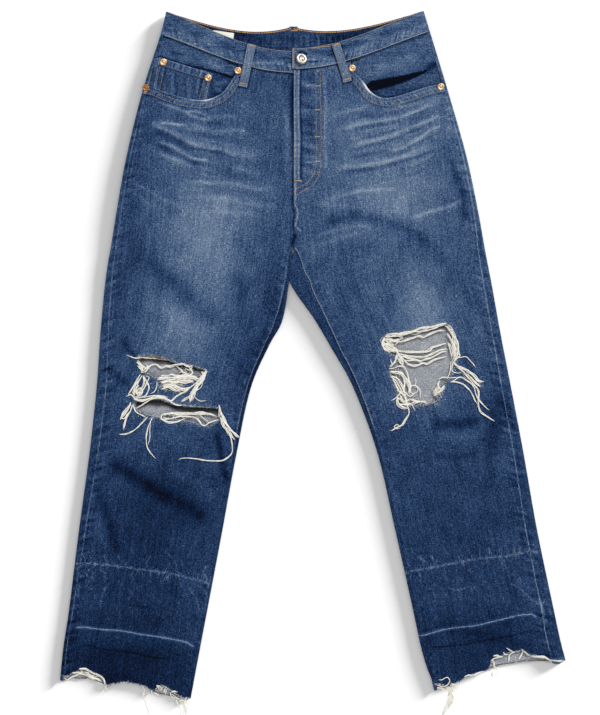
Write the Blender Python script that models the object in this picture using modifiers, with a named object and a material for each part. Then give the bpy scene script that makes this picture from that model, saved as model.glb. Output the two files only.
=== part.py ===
"""Ripped straight-leg jeans, laid out flat on a surface with the front up.

Frame: metres, +X to the wearer's left, +Y towards the waist, +Z up out of the front.
The origin lies on the surface, under the middle of the jeans.  Sizes below are millimetres.
The cloth is built as the pieces that are cut and sewn: each is an open surface given the
thickness of the cloth, and the two fronts lie on the two backs, which wrap round every fold.
"""
import math
from collections import namedtuple

import bmesh
import bpy
from mathutils import Vector
from mathutils.bvhtree import BVHTree

MM = 0.001

# ---------------------------------------------------------------- driving sizes
CLOTH = 1.2            # one layer of denim
GAP = 0.3              # between pieces that touch on the sewn garment
BAND_THICKNESS = 2.6   # the waistband is folded cloth
CENTRE_X = -27.0       # centre front and centre back
FOLD = 3.2             # seen from above, how far in a side fold takes to round over
FLY_WIDTH = 43.0       # left front's raised fly, from its edge
FLY_RAMP = 10.0        # how far it takes to come down beside the fly
FLY_RISE = 1.5         # it lies over the facing and the shield
FLY_FOOT_Y = 232.0
FACING_DROP = 3.4      # pocket facing, below the front at the mouth
FACING_SLOPE = (8.0, 26.0)   # it comes up between these distances above the mouth
BAND_PROUD = 1.0       # front waistband above the fronts
UNDERLAP_TOP = 7.2     # right end of the waistband, under the left end
OVERLAP_TOP = 10.1
YOKE_SIDE = 0.44       # yoke seam, in stations below the waist seam, at the side
YOKE_CENTRE = 0.90     # and at the centre back
LOOP_WIDTH = 12.0
LOOP_THICKNESS = 1.5
LOOP_CROWN = 1.1       # how far a front loop stands off the waistband
RIVET_RADIUS = 5.0
BUTTON_RADIUS = 8.5

# ---------------------------------------------------------------- stations
# One row per station down a leg.  outer: the side fold.  inner: the centre front above the
# crotch, the inner fold below it.  back: how much higher the back's row ends.  bow: 1 where
# the row hangs like the waist, 0 where it is straight.  arch: how far its middle rises.
# outseam, inseam: from the fold to the seam on the front.
FIELDS = "outer_x outer_y inner_x inner_y back bow arch outseam inseam"
Station = namedtuple("Station", FIELDS)
OUTLINE_FIELDS = 4

WAIST_TOP, WAIST_SEAM, POCKET, HIP, SEAT, CROTCH, FORK, GAP_TOP = range(-1, 7)
HEM = 14

RIGHT_LEG = (
    Station(-208, 486, -29, 430, 35, 1.0, 0, 4.5, 0),        # waist top
    Station(-216.5, 452, -27, 398, 29, 1.0, 0, 4.5, 0),      # waist seam
    Station(-242, 372, -27, 325, 18, 0.8, 0, 4.5, 0),        # pocket
    Station(-264.5, 280, -27, 246, 9, 0.5, 0, 5.0, 0),       # hip
    Station(-278.5, 202, -27, 195, 3, 0.2, 0, 6.0, 0),       # seat
    Station(-287, 150, -27, 153, 0, 0.0, 0, 7.0, 0),         # crotch
    Station(-290, 134, -28.5, 141, 0, 0.0, 0, 7.5, 4.5),     # fork
    Station(-295, 99, -33, 104, 0, 0.0, 0, 8.5, 4.5),        # top of the gap between the legs
    Station(-300, 48, -42.5, 48, 0, 0.0, 0, 10.0, 10.0),     # upper thigh
    Station(-303, 10, -62, 11, 0, 0.0, 0, 11.5, 6.0),        # thigh
    Station(-307, -48, -88, -50, 0, 0.0, 0, 12.8, 4.5),      # knee
    Station(-317, -140, -109, -148, 0, 0.0, 0, 11.5, 4.5),   # below the knee
    Station(-332, -250, -130, -262, 0, 0.0, 0, 8.5, 4.5),    # calf
    Station(-346, -362, -152, -378, 0, 0.0, 0, 4.8, 4.5),    # shin
    Station(-354, -415, -163, -436, 0, 0.0, 0, 4.5, 5.0),    # ankle
    Station(-359, -460, -173, -489, 0, 0.0, 0, 4.5, 5.5),    # hem
)
LEFT_LEG = (
    Station(158, 487, -29, 433, 32, 1.0, 0, 4.5, 0),
    Station(167.5, 456, -27, 403, 24, 1.0, 0, 4.5, 0),
    Station(193, 372, -27, 325, 18, 0.8, 0, 4.5, 0),
    Station(219, 280, -27, 246, 9, 0.5, 0, 4.5, 0),
    Station(235.5, 202, -27, 195, 3, 0.2, 0, 6.0, 0),
    Station(245, 150, -27, 153, 0, 0.0, 0, 9.5, 0),
    Station(248, 134, -28.5, 141, 0, 0.0, 0, 10.0, 8.0),
    Station(254.5, 101, -33, 104, 0, 0.0, 0, 11.0, 29.0),
    Station(264, 48, 3.5, 48, 0, 0.0, 0, 11.4, 16.0),
    Station(271.5, 8, 27, 8, 0, 0.0, 0, 11.6, 11.0),
    Station(282.5, -48, 58, -48, 0, 0.0, 0, 12.8, 7.5),
    Station(300, -140, 92, -140, 0, 0.0, 0, 13.5, 4.5),
    Station(319, -248, 117, -248, 0, 0.0, 0, 15.6, 4.5),
    Station(342, -358, 142, -360, 0, 0.0, 0, 17.0, 4.5),
    Station(351, -400, 155, -420, 0, 0.0, 4, 18.5, 4.5),
    Station(360, -436, 173, -481, 0, 0.0, 10, 19.5, 4.5),
)
HANG = 1.14            # how late a row that hangs starts down from the side
BACK_HANG = 1.5        # and the back's rows part from the front's
LEGS = {"right": RIGHT_LEG, "left": LEFT_LEG}
INWARD = {"right": 1.0, "left": -1.0}

BAND_ROWS = (WAIST_TOP, -0.5, -0.01)
LEG_ROWS = (CROTCH, FORK, GAP_TOP, 6.5, 7, 7.5, 8, 9, 9.5, 10, 10.5, 11, 11.5, 12, 13, HEM)
FRONT_ROWS = (0, 1 / 3, 2 / 3, 1, 4 / 3, 5 / 3, 2, 2.5, 3, 3.5) + LEG_ROWS
BACK_ROWS = (YOKE_SIDE, 0.72, 1, 4 / 3, 5 / 3, 2, 2.5, 3, 3.5) + LEG_ROWS
YOKE_BLEND_END = 2.0   # the back's rows follow the yoke seam down to here

# ---------------------------------------------------------------- heights
# y, top of the fronts there, underside of the backs there: the legs lie on the surface,
# the seat lies on the back pockets and the belt loops.
HEIGHTS = (
    (-500, 4.4, 0.0),
    (-420, 5.2, 0.0),
    (60, 5.4, 0.0),
    (150, 6.5, 0.0),
    (215, 7.8, 1.5),
    (500, 7.8, 1.5),
)
SEAT_TOP, SEAT_UNDER = HEIGHTS[-1][1:]

# The largest soft folds of the fronts: middle, heading from +X, half length, half width, height.
FOLDS = (
    (-190, 262, 25, 70, 20, 0.5),
    (-120, 225, 8, 60, 18, -0.45),
    (-225, 190, 40, 70, 18, -0.4),
    (150, 262, 155, 70, 20, 0.5),
    (80, 225, 172, 60, 18, -0.45),
    (190, 185, 140, 70, 18, -0.4),
    (-170, 95, 75, 90, 26, 0.6),
    (140, 120, 100, 85, 24, 0.6),
    (-215, -170, 20, 75, 22, 0.6),
    (-235, -260, 95, 110, 26, -0.5),
    (180, -165, 150, 80, 22, 0.6),
    (240, -290, 80, 110, 26, -0.5),
)
FOLD_CLEARANCE = 14.0  # folds fade out this far from a leg's edges

# ---------------------------------------------------------------- outlines, seen from above
POCKET_MOUTH = {
    "right": ((-104, 414), (-106, 402), (-116, 387), (-124, 375), (-134, 367), (-150, 361),
              (-167, 361), (-188, 365), (-207, 371), (-226, 379), (-250, 384)),
    "left": ((54, 414), (57, 402), (66, 393), (74, 384), (81, 374), (90, 367), (102, 363.5),
             (117, 365), (143, 373), (169, 381), (200, 386)),
}
FACING_INNER_X = {"right": -84.0, "left": 34.0}
COIN_POCKET = ((-217, 421), (-142, 397), (-157, 341), (-230, 358))
COIN_POCKET_REACH = 5.0  # it clears the facing this far round each of its points

RIPS = {
    "right": (
        ((-248, -4), (-231, -2), (-209, -7), (-190, -14), (-170, -17), (-150, -24), (-162, -31),
         (-188, -35), (-221, -35), (-240, -24)),
        ((-254, -69), (-238, -65), (-217, -64), (-196, -72), (-168, -75), (-132, -77), (-132, -93),
         (-148, -103), (-168, -97), (-195, -92), (-228, -88), (-248, -81)),
    ),
    "left": (
        ((101, 25), (128, 29), (157, 37), (188, 43), (198, 35), (202, 11), (204, -10), (195, -33),
         (175, -60), (180, -67), (157, -72), (130, -75), (121, -71), (120, -54), (110, -25),
         (118, -4), (102, 7)),
    ),
}
# Bands of white weft threads left across each rip, tucked under its edges.
THREAD_BANDS = {
    "threads_rip_right_upper": ((-253, -18), (-196, -14), (-186, -8), (-170, -12), (-182, -24),
                                (-190, -41), (-208, -41), (-204, -24), (-247, -30)),
    "threads_rip_right_lower": ((-259, -76), (-212, -82), (-168, -88), (-137, -84), (-125, -86),
                                (-127, -100), (-168, -103), (-215, -96), (-246, -88)),
    "threads_rip_left": ((95, 30), (195, 48), (211, 30), (210, -12), (190, -12), (192, -1),
                         (108, 0), (108, 10), (96, 12)),
}
HEM_EDGES = {
    "right": ((-375, -457), (-359, -457), (-354, -464), (-341, -459), (-336, -447), (-295, -463),
              (-292, -471), (-272, -466), (-243, -470), (-231, -477), (-222, -469), (-191, -481),
              (-182, -486), (-155, -486)),
    "left": ((155, -471), (170, -471), (174, -480), (192, -471), (207, -467), (222, -456),
             (256, -447), (255, -432), (305, -423), (316, -437), (358, -436), (375, -431)),
}
HEM_FRINGE_REACH = 6.0
HEM_FRINGE_TUCK = 14.0

BACK_POCKET = ((-70, 375), (70, 375), (66, 248), (0, 224), (-66, 248))
BACK_POCKET_OFFSET = 98.0  # from the centre back
LABEL_CENTRE = (-128.0, 445.0)
LABEL_SIZE = (30.0, 26.0)
LABEL_TURN = -8.0
BUTTON_PLACE = (-16.3, 417.5)
BUTTONHOLE = (-20.0, 8.0, 3.4)  # from x, to x, height

# Belt loops: upper end, lower end.
FRONT_LOOPS = {
    "belt_loop_front_right": ((-86, 439), (-99, 379)),
    "belt_loop_front_left": ((33, 440), (50, 386)),
}
BACK_LOOPS = {
    "belt_loop_back_right": ((-133, 462), (-138, 404)),
    "belt_loop_back_left": ((79, 462), (84, 404)),
    "belt_loop_back_centre": ((-27, 466), (-27, 408)),
}
RIVETS = {
    "rivet_coin_side": (-211.6, 413.9),
    "rivet_coin_front": (-148.0, 391.5),
    "rivet_mouth_right_front": (-105.8, 401.9),
    "rivet_mouth_right_side": (-236.4, 377.7),
    "rivet_mouth_left_front": (56.4, 405.4),
    "rivet_mouth_left_side": (182.2, 379.1),
}

# ---------------------------------------------------------------- materials: colour, rough, metal
MATERIALS = {
    "denim": ((0.075, 0.135, 0.24, 1.0), 0.9, 0.0),
    "denim_reverse": ((0.30, 0.33, 0.37, 1.0), 0.95, 0.0),
    "white_weft": ((0.86, 0.84, 0.78, 1.0), 0.95, 0.0),
    "cotton_label": ((0.88, 0.86, 0.78, 1.0), 0.9, 0.0),
    "copper": ((0.72, 0.47, 0.24, 1.0), 0.4, 1.0),
    "nickel": ((0.55, 0.53, 0.48, 1.0), 0.35, 1.0),
}


# ================================================================ small helpers
def smooth(low, high, value):
    """0 below low, 1 above high, and an even ease between."""
    t = min(1.0, max(0.0, (value - low) / (high - low)))
    return t * t * (3 - 2 * t)


def mix(a, b, t):
    return a + (b - a) * t


def clear_scene():
    for thing in list(bpy.data.objects):
        bpy.data.objects.remove(thing, do_unlink=True)


def make_collection(name):
    collection = bpy.data.collections.new(name)
    bpy.context.scene.collection.children.link(collection)
    return collection


def make_material(name):
    colour, rough, metal = MATERIALS[name]
    material = bpy.data.materials.new(name)
    material.use_nodes = True
    shader = material.node_tree.nodes["Principled BSDF"]
    shader.inputs["Base Color"].default_value = colour
    shader.inputs["Roughness"].default_value = rough
    shader.inputs["Metallic"].default_value = metal
    material.diffuse_color = colour
    return material


def add_object(name, mesh, collection, material=None):
    thing = bpy.data.objects.new(name, mesh)
    collection.objects.link(thing)
    if material:
        mesh.materials.append(material)
    return thing


def surface(name, rows, flipped, collection, material, thickness=CLOTH):
    """An open grid of points in mm, given its thickness on the inner side."""
    bm = bmesh.new()
    grid = [[bm.verts.new(Vector(p) * MM) for p in row] for row in rows]
    for upper, lower in zip(grid, grid[1:]):
        for k in range(len(upper) - 1):
            corners = [upper[k], upper[k + 1], lower[k + 1], lower[k]]
            bm.faces.new(corners[::-1] if flipped else corners)
    mesh = bpy.data.meshes.new(name)
    bm.to_mesh(mesh)
    bm.free()
    thing = add_object(name, mesh, collection, material)
    solidify = thing.modifiers.new("Cloth", "SOLIDIFY")
    solidify.thickness = thickness * MM
    solidify.offset = -1.0
    return thing


def plate(name, outline, low, high, collection, material=None):
    """A flat outline in mm, raised from low to high."""
    bm = bmesh.new()
    face = bm.faces.new([bm.verts.new(Vector((x, y, low)) * MM) for x, y in outline])
    raised = bmesh.ops.extrude_face_region(bm, geom=[face])["geom"]
    points = [v for v in raised if isinstance(v, bmesh.types.BMVert)]
    bmesh.ops.translate(bm, verts=points, vec=(0, 0, (high - low) * MM))
    bmesh.ops.recalc_face_normals(bm, faces=bm.faces)
    mesh = bpy.data.meshes.new(name)
    bm.to_mesh(mesh)
    bm.free()
    return add_object(name, mesh, collection, material)


def cut(thing, outline, label, low=-4.0, high=20.0):
    """Cut an outline straight through one piece."""
    cutter = plate(f"cut_{thing.name}_{label}", outline, low, high, bpy.data.collections["cutters"])
    cutter.hide_render = True
    cutter.display_type = "WIRE"
    boolean = thing.modifiers.new(label, "BOOLEAN")
    boolean.operation = "DIFFERENCE"
    boolean.solver = "EXACT"
    boolean.object = cutter


def built_surface(thing):
    """The finished shape of a piece, for seating another on it."""
    bpy.context.view_layer.update()
    return BVHTree.FromObject(thing, bpy.context.evaluated_depsgraph_get())


def height_on(shapes, x, y, reach=0.0, fallback=0.0):
    """Top of the given shapes within reach of one place, in mm."""
    steps = (-1, 0, 1) if reach else (0,)
    down = Vector((0, 0, -1))
    starts = [Vector((x + reach * i, y + reach * j, 60)) * MM for i in steps for j in steps]
    hits = [shape.ray_cast(start, down)[0] for shape in shapes for start in starts]
    return max((hit.z / MM for hit in hits if hit), default=fallback)


# ================================================================ the form of the jeans
def station(side, s):
    """The station at any place down the leg; its outline follows a smooth curve."""
    table = LEGS[side]
    place = min(max(s - WAIST_TOP, 0.0), len(table) - 1.0)
    i = min(int(place), len(table) - 2)
    t = place - i
    p0, p1, p2, p3 = (table[min(max(k, 0), len(table) - 1)] for k in range(i - 1, i + 3))
    values = []
    for k in range(len(Station._fields)):
        if k < OUTLINE_FIELDS:
            bend = 2 * p0[k] - 5 * p1[k] + 4 * p2[k] - p3[k]
            twist = 3 * (p1[k] - p2[k]) + p3[k] - p0[k]
            values.append(p1[k] + 0.5 * t * (p2[k] - p0[k] + t * (bend + t * twist)))
        else:
            values.append(mix(p1[k], p2[k], t))
    return Station(*values)


def width_of(place):
    return abs(place.inner_x - place.outer_x) - GAP / 2


def spot(side, place, distance, back=0.0):
    """x and y at a distance in from the side fold, on the front's row or the back's (back=1)."""
    u = max(distance / width_of(place), 0.0)
    hang = math.sin(math.pi / 2 * u ** HANG)
    x = place.outer_x + INWARD[side] * distance
    y = mix(place.outer_y, place.inner_y, mix(u, hang, place.bow))
    y += place.back * back * u ** BACK_HANG
    y += place.arch * math.sin(math.pi * min(u, 1.0))
    return x, y


def level(y, column):
    for lower, upper in zip(HEIGHTS, HEIGHTS[1:]):
        if y <= upper[0]:
            return mix(lower[column], upper[column], smooth(lower[0], upper[0], y))
    return HEIGHTS[-1][column]


def relief(x, y, edge_distance):
    """Height that the soft folds add."""
    total = 0.0
    for fold_x, fold_y, heading, length, width, height in FOLDS:
        c, s = math.cos(math.radians(heading)), math.sin(math.radians(heading))
        along = (x - fold_x) * c + (y - fold_y) * s
        across = (y - fold_y) * c - (x - fold_x) * s
        total += height * math.exp(-(along / length) ** 2 - (across / width) ** 2)
    return total * smooth(FOLD, FOLD_CLEARANCE, edge_distance)


def fly_rise(x, y):
    beside = 1.0 - smooth(CENTRE_X + FLY_WIDTH, CENTRE_X + FLY_WIDTH + FLY_RAMP, x)
    return FLY_RISE * beside * smooth(FLY_FOOT_Y - 30, FLY_FOOT_Y - 2, y)


def ring(place, laid):
    """One back station, from the outseam round the side fold, below, and round the inner fold.

    Each column is its distance from the side fold and its level, 1 on top and -1 below.  A laid
    station has its inner columns side by side along the centre back instead.
    """
    width = width_of(place)
    turn = [math.radians(a) for a in (90, 45, 0, -45, -90)]
    outer = [(FOLD * (1 - math.cos(a)), math.sin(a)) for a in turn]
    columns = [(place.outseam - GAP / 2, 1.0)] + outer
    columns += [(mix(FOLD, width - FOLD, k / 6), -1.0) for k in range(1, 6)]
    if laid:
        return columns + [(width - 2.0 * k, -1.0) for k in range(5, -1, -1)]
    inner = [(width - distance, lift) for distance, lift in reversed(outer)]
    return columns + inner + [(width - place.inseam + GAP / 2, 1.0)]


def ring_point(side, s, column):
    place = station(side, s)
    laid = s <= CROTCH
    distance, lift = ring(place, laid)[column]
    x, y = spot(side, place, distance, (1 - lift) / 2)
    top = level(y, 1) + relief(x, y, min(distance, width_of(place) - distance))
    under = level(y, 2)
    return x, y, mix(under, top, (1 + lift) / 2)


def ring_columns():
    return len(ring(station("right", 0), True))


def column_share(side, column):
    """How far across the seat a ring column lies, 0 at the side and 1 at the centre back."""
    place = station(side, 0.6)
    distance, lift = ring(place, True)[column]
    return 0.0 if lift > -1 else distance / width_of(place)


def yoke_seam(share):
    return mix(YOKE_SIDE, YOKE_CENTRE, share)


def mouth_height(side, x, y):
    """Distance from a pocket's mouth, positive on the facing that shows."""
    mouth = POCKET_MOUTH[side]
    p = Vector((x, y))
    best, sign = None, 1.0
    for a, b in zip(mouth, mouth[1:]):
        a, b = Vector(a), Vector(b)
        run = b - a
        t = min(1.0, max(0.0, (p - a).dot(run) / run.dot(run)))
        away = p - (a + run * t)
        if best is None or away.length < best:
            best = away.length
            sign = -INWARD[side] * (run.x * away.y - run.y * away.x)
    return math.copysign(best, sign)


# ================================================================ the pieces
def front_distances(side, place):
    """Where a front's columns lie across one station."""
    start = place.outseam + GAP / 2
    end = width_of(place) - (place.inseam + GAP if place.inseam else 0.0)
    if side == "right":
        return [mix(start, end, k / 12) for k in range(13)]
    fly = [end - d for d in (FLY_WIDTH + FLY_RAMP, FLY_WIDTH, FLY_WIDTH / 2, 0.0)]
    return [mix(start, fly[0], k / 9) for k in range(9)] + fly


def make_front(side, collection, denim):
    rows = []
    for s in FRONT_ROWS:
        place = station(side, s)
        row = []
        for distance in front_distances(side, place):
            x, y = spot(side, place, distance)
            top = level(y, 1) + relief(x, y, min(distance, width_of(place) - distance))
            if side == "left":
                top += fly_rise(x, y)
            row.append((x, y, top))
        rows.append(row)
    front = surface(f"front_{side}", rows, side == "right", collection, denim)
    mouth = list(POCKET_MOUTH[side])
    outer_x, inner_x = mouth[-1][0], mouth[0][0]
    cut(front, mouth + [(outer_x, 480), (inner_x, 480)], "pocket_mouth")
    for n, rip in enumerate(RIPS[side]):
        cut(front, rip, f"rip_{n + 1}")
    edge = list(HEM_EDGES[side])
    cut(front, edge + [(edge[-1][0], -520), (edge[0][0], -520)], "raw_hem")
    return front


def make_back(side, collection, denim):
    """Back leg below the yoke: it wraps both folds and shows beside the seams."""
    rows = []
    for s in BACK_ROWS:
        fade = max(0.0, (YOKE_BLEND_END - s) / (YOKE_BLEND_END - YOKE_SIDE))
        row = []
        for column in range(ring_columns()):
            dip = (yoke_seam(column_share(side, column)) - YOKE_SIDE) * fade
            row.append(ring_point(side, s + dip, column))
        rows.append(row)
    return surface(f"back_{side}", rows, side == "left", collection, denim)


def make_yoke(side, collection, denim):
    rows = []
    seam_gap = 0.004  # stations, about 0.3 mm
    for n in range(4):
        row = []
        for column in range(ring_columns()):
            end = yoke_seam(column_share(side, column)) - seam_gap
            row.append(ring_point(side, end * n / 3, column))
        rows.append(row)
    return surface(f"yoke_{side}", rows, side == "left", collection, denim)


def make_waistband(collection, denim):
    """One band, from the underlap round the right side, the back and the left side."""
    front_top = SEAT_TOP + BAND_PROUD
    back_under = SEAT_UNDER
    middle = (front_top + back_under) / 2
    half = (front_top - back_under) / 2
    fold = 4.2
    turn = [math.radians(a) for a in (90, 45, 0, -45, -90)]
    corner = [(fold * (1 - math.cos(a)), math.sin(a)) for a in turn]

    def across(side, s, xs_and_tops, back):
        place = station(side, s)
        return [(*spot(side, place, (x - place.outer_x) * INWARD[side], back), z) for x, z in xs_and_tops]

    def half_band(side, s, inner):
        """From the centre front of one side to its centre back."""
        place = station(side, s)
        start = inner[-1][0]
        ends = [mix(start, place.outer_x + INWARD[side] * 12, k / 5) for k in range(1, 6)]
        points = across(side, s, list(inner) + [(x, front_top) for x in ends], 0.0)
        for distance, lift in corner:
            points.append((*spot(side, place, distance, (1 - lift) / 2), middle + half * lift))
        xs = [mix(place.outer_x + INWARD[side] * 12, CENTRE_X, k / 5) for k in range(6)]
        return points + across(side, s, [(x, back_under) for x in xs], 1.0)

    underlap = ((16, UNDERLAP_TOP), (-6, UNDERLAP_TOP), (-30, UNDERLAP_TOP), (-42, front_top))
    overlap = ((-29, OVERLAP_TOP), (-8, OVERLAP_TOP), (14, OVERLAP_TOP), (26, front_top))
    rows = []
    for s in BAND_ROWS:
        right = half_band("right", s, underlap)
        left = half_band("left", s, overlap)
        middle_back = [tuple((a + b) / 2 for a, b in zip(right[-1], left[-1]))]
        rows.append(right[:-1] + middle_back + left[-2::-1])
    band = surface("waistband", rows, False, collection, denim, BAND_THICKNESS)
    start, end, height = BUTTONHOLE
    x, y = BUTTON_PLACE
    low, high = y - height / 2, y + height / 2
    cut(band, ((start, low), (end, low + 1.0), (end, high + 1.0), (start, high)), "buttonhole",
        UNDERLAP_TOP + GAP / 2, OVERLAP_TOP + 3)
    return band


def make_facing(side, collection, denim):
    """Pocket facing: seen above the mouth, and tucked under the front below it."""
    rows = []
    for s in (0.0, 0.16, 0.32, 0.48, 0.64, 0.8, 0.96, 1.14):
        place = station(side, s)
        start = mix(place.outseam + GAP / 2, 5.6, smooth(0.3, 0.9, s))
        end = (FACING_INNER_X[side] - place.outer_x) * INWARD[side]
        row = []
        for k in range(9):
            distance = mix(start, end, k / 8)
            x, y = spot(side, place, distance)
            drop = FACING_DROP * (1 - smooth(*FACING_SLOPE, mouth_height(side, x, y)))
            row.append((x, y, level(y, 1) - drop))
        rows.append(row)
    return surface(f"pocket_facing_{side}", rows, side == "right", collection, denim)


def make_coin_pocket(facing, collection, denim):
    shape = [built_surface(facing)]
    lift = CLOTH + GAP
    top_side, top_front, foot_front, foot_side = COIN_POCKET
    rows = []
    for n in range(8):
        start = [mix(a, b, n / 7) for a, b in zip(top_side, foot_side)]
        end = [mix(a, b, n / 7) for a, b in zip(top_front, foot_front)]
        row = []
        for k in range(6):
            x, y = (mix(a, b, k / 5) for a, b in zip(start, end))
            row.append((x, y, height_on(shape, x, y, COIN_POCKET_REACH) + lift))
        rows.append(row)
    return surface("coin_pocket", rows, True, collection, denim)


def fly_outline(inner_x, outer_x, top_y):
    """A strip whose foot sweeps in a quarter curve back to the centre front."""
    width = outer_x - inner_x
    foot = [(inner_x + width * math.sin(a), FLY_FOOT_Y + 40 * (1 - math.cos(a)))
            for a in (math.pi / 2 * k / 6 for k in range(1, 7))]
    return [(inner_x, top_y), (inner_x, FLY_FOOT_Y)] + foot + [(outer_x, top_y)]


def make_fly(collection, denim):
    facing_low = SEAT_TOP - CLOTH
    outline = fly_outline(CENTRE_X + 0.5, CENTRE_X + FLY_WIDTH - 1.0, 397)
    plate("fly_facing", outline, facing_low, SEAT_TOP, collection, denim)
    shield_high = facing_low - GAP
    outline = fly_outline(CENTRE_X - 18, CENTRE_X + FLY_WIDTH, 394)
    plate("fly_shield", outline, shield_high - CLOTH, shield_high, collection, denim)


def make_back_pocket(side, collection, denim):
    middle = CENTRE_X - INWARD[side] * BACK_POCKET_OFFSET
    outline = [(middle + x, y) for x, y in BACK_POCKET]
    plate(f"back_pocket_{side}", outline, 0.0, SEAT_UNDER - GAP, collection, denim)


def strap_outline(upper, lower, width):
    run = (Vector(lower) - Vector(upper)).normalized()
    across = Vector((-run.y, run.x)) * width / 2
    return [Vector(upper) - across, Vector(upper) + across, Vector(lower) + across, Vector(lower) - across]


def make_front_loop(name, upper, lower, seats, collection, denim):
    """A strap over the waistband: both ends lie down, the middle stands off."""
    run = Vector(lower) - Vector(upper)
    across = Vector((-run.y, run.x)).normalized() * LOOP_WIDTH / 2
    rows = []
    for n in range(9):
        t = n / 8
        middle = Vector(upper) + run * t
        crown = LOOP_CROWN * math.sin(math.pi * min(1.0, max(0.0, (t - 0.08) / 0.84))) ** 0.7
        seat = height_on(seats, middle.x, middle.y, LOOP_WIDTH / 2)
        z = seat + GAP + LOOP_THICKNESS + crown
        rows.append([(*(middle + across * e), z) for e in (-1, 1)])
    return surface(name, rows, True, collection, denim, LOOP_THICKNESS)


def turned(name, profile, x, y, z, steps, collection, material):
    """A profile of (radius, height) in mm, top to bottom, turned about its own axis."""
    mesh = bpy.data.meshes.new(name)
    points = [(r * MM, 0, h * MM) for r, h in profile]
    mesh.from_pydata(points, [(k, k + 1) for k in range(len(points) - 1)], [])
    thing = add_object(name, mesh, collection, material)
    thing.location = Vector((x, y, z)) * MM
    screw = thing.modifiers.new("Turn", "SCREW")
    screw.steps = steps
    screw.render_steps = steps
    screw.use_merge_vertices = True
    screw.merge_threshold = 0.00001
    return thing


def make_rivet(name, x, y, seats, collection, copper):
    ring_of_points = [(x + RIVET_RADIUS * math.cos(a), y + RIVET_RADIUS * math.sin(a))
                      for a in (math.tau * k / 12 for k in range(12))]
    seat = max(height_on(seats, px, py) for px, py in ring_of_points + [(x, y)])
    profile = ((0, 2.1), (1.3, 1.9), (1.6, 1.3), (4.2, 1.2), (RIVET_RADIUS, 0.5), (4.8, 0), (0, 0))
    turned(name, profile, x, y, seat + GAP, 12, collection, copper)


def make_button(collection, nickel):
    head = OVERLAP_TOP + GAP
    shank_foot = UNDERLAP_TOP + GAP - head
    profile = ((0, 1.6), (3.4, 1.5), (4.0, 2.6), (7.2, 3.0), (BUTTON_RADIUS, 1.8), (8.0, 0.4),
               (6.5, 0), (1.4, 0), (1.4, shank_foot), (0, shank_foot))
    turned("button_waist", profile, *BUTTON_PLACE, head, 20, collection, nickel)


def make_label(collection, material):
    turn = math.radians(LABEL_TURN)
    half = Vector(LABEL_SIZE) / 2
    outline = []
    for sx, sy in ((-1, -1), (1, -1), (1, 1), (-1, 1)):
        x, y = half.x * sx, half.y * sy
        outline.append((LABEL_CENTRE[0] + x * math.cos(turn) - y * math.sin(turn),
                        LABEL_CENTRE[1] + x * math.sin(turn) + y * math.cos(turn)))
    low = SEAT_UNDER + BAND_THICKNESS + GAP
    plate("label", outline, low, low + 0.8, collection, material)


def make_fringe(side, collection, white):
    """Plain solid of the frayed hem's reach, between the two layers of the leg."""
    place = station(side, HEM)
    width = width_of(place)
    shares = [0.05 + 0.9 * k / 8 for k in range(9)]
    lower = [spot(side, place, width * share) for share in shares]
    outline = [(x, y - HEM_FRINGE_REACH) for x, y in lower]
    outline += [(x, y + HEM_FRINGE_TUCK) for x, y in reversed(lower)]
    low = CLOTH + GAP
    plate(f"fringe_hem_{side}", outline, low, low + 1.2, collection, white)


def build():
    clear_scene()
    jeans = make_collection("ripped_jeans")
    make_collection("cutters")
    materials = {name: make_material(name) for name in MATERIALS}
    denim, white = materials["denim"], materials["white_weft"]

    fronts = [make_front(side, jeans, denim) for side in LEGS]
    backs = [make_back(side, jeans, denim) for side in LEGS]
    yokes = [make_yoke(side, jeans, denim) for side in LEGS]
    facings = [make_facing(side, jeans, denim) for side in LEGS]
    coin = make_coin_pocket(facings[0], jeans, denim)
    band = make_waistband(jeans, denim)
    make_fly(jeans, denim)
    for side in LEGS:
        make_back_pocket(side, jeans, denim)
        make_fringe(side, jeans, white)

    seats = [built_surface(piece) for piece in fronts + backs + yokes + facings + [coin, band]]
    for name, (upper, lower) in FRONT_LOOPS.items():
        make_front_loop(name, upper, lower, seats, jeans, denim)
    for name, (upper, lower) in BACK_LOOPS.items():
        plate(name, strap_outline(upper, lower, LOOP_WIDTH), 0.0, SEAT_UNDER - GAP, jeans, denim)
    for name, (x, y) in RIVETS.items():
        make_rivet(name, x, y, seats, jeans, materials["copper"])
    make_button(jeans, materials["nickel"])
    make_label(jeans, materials["cotton_label"])
    for name, outline in THREAD_BANDS.items():
        high = level(0, 1) - CLOTH - GAP
        plate(name, outline, high - 1.0, high, jeans, white)


build()
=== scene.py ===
"""Looks of ripped straight-leg jeans, laid out flat on a surface with the front up.

The frame holds the cloth pieces as plain solids.  Each gets a fine shell on the same form,
with its creases, puckers, worn places, stitches and torn threads.  Sizes are millimetres in
the frame's axes (+X to the wearer's left, +Y towards the waist, +Z up); meshes are scaled to
metres when they are made.  wear, which carries painted shade too, runs from 0, dark indigo,
to 1, faded; below 0 it is painted black shadow in a hollow, and 1.2 is bare white cotton.
"""

import math
from collections import namedtuple
from functools import partial

import bpy
import numpy as np
from mathutils import Matrix, Vector
from mathutils.geometry import delaunay_2d_cdt


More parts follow.
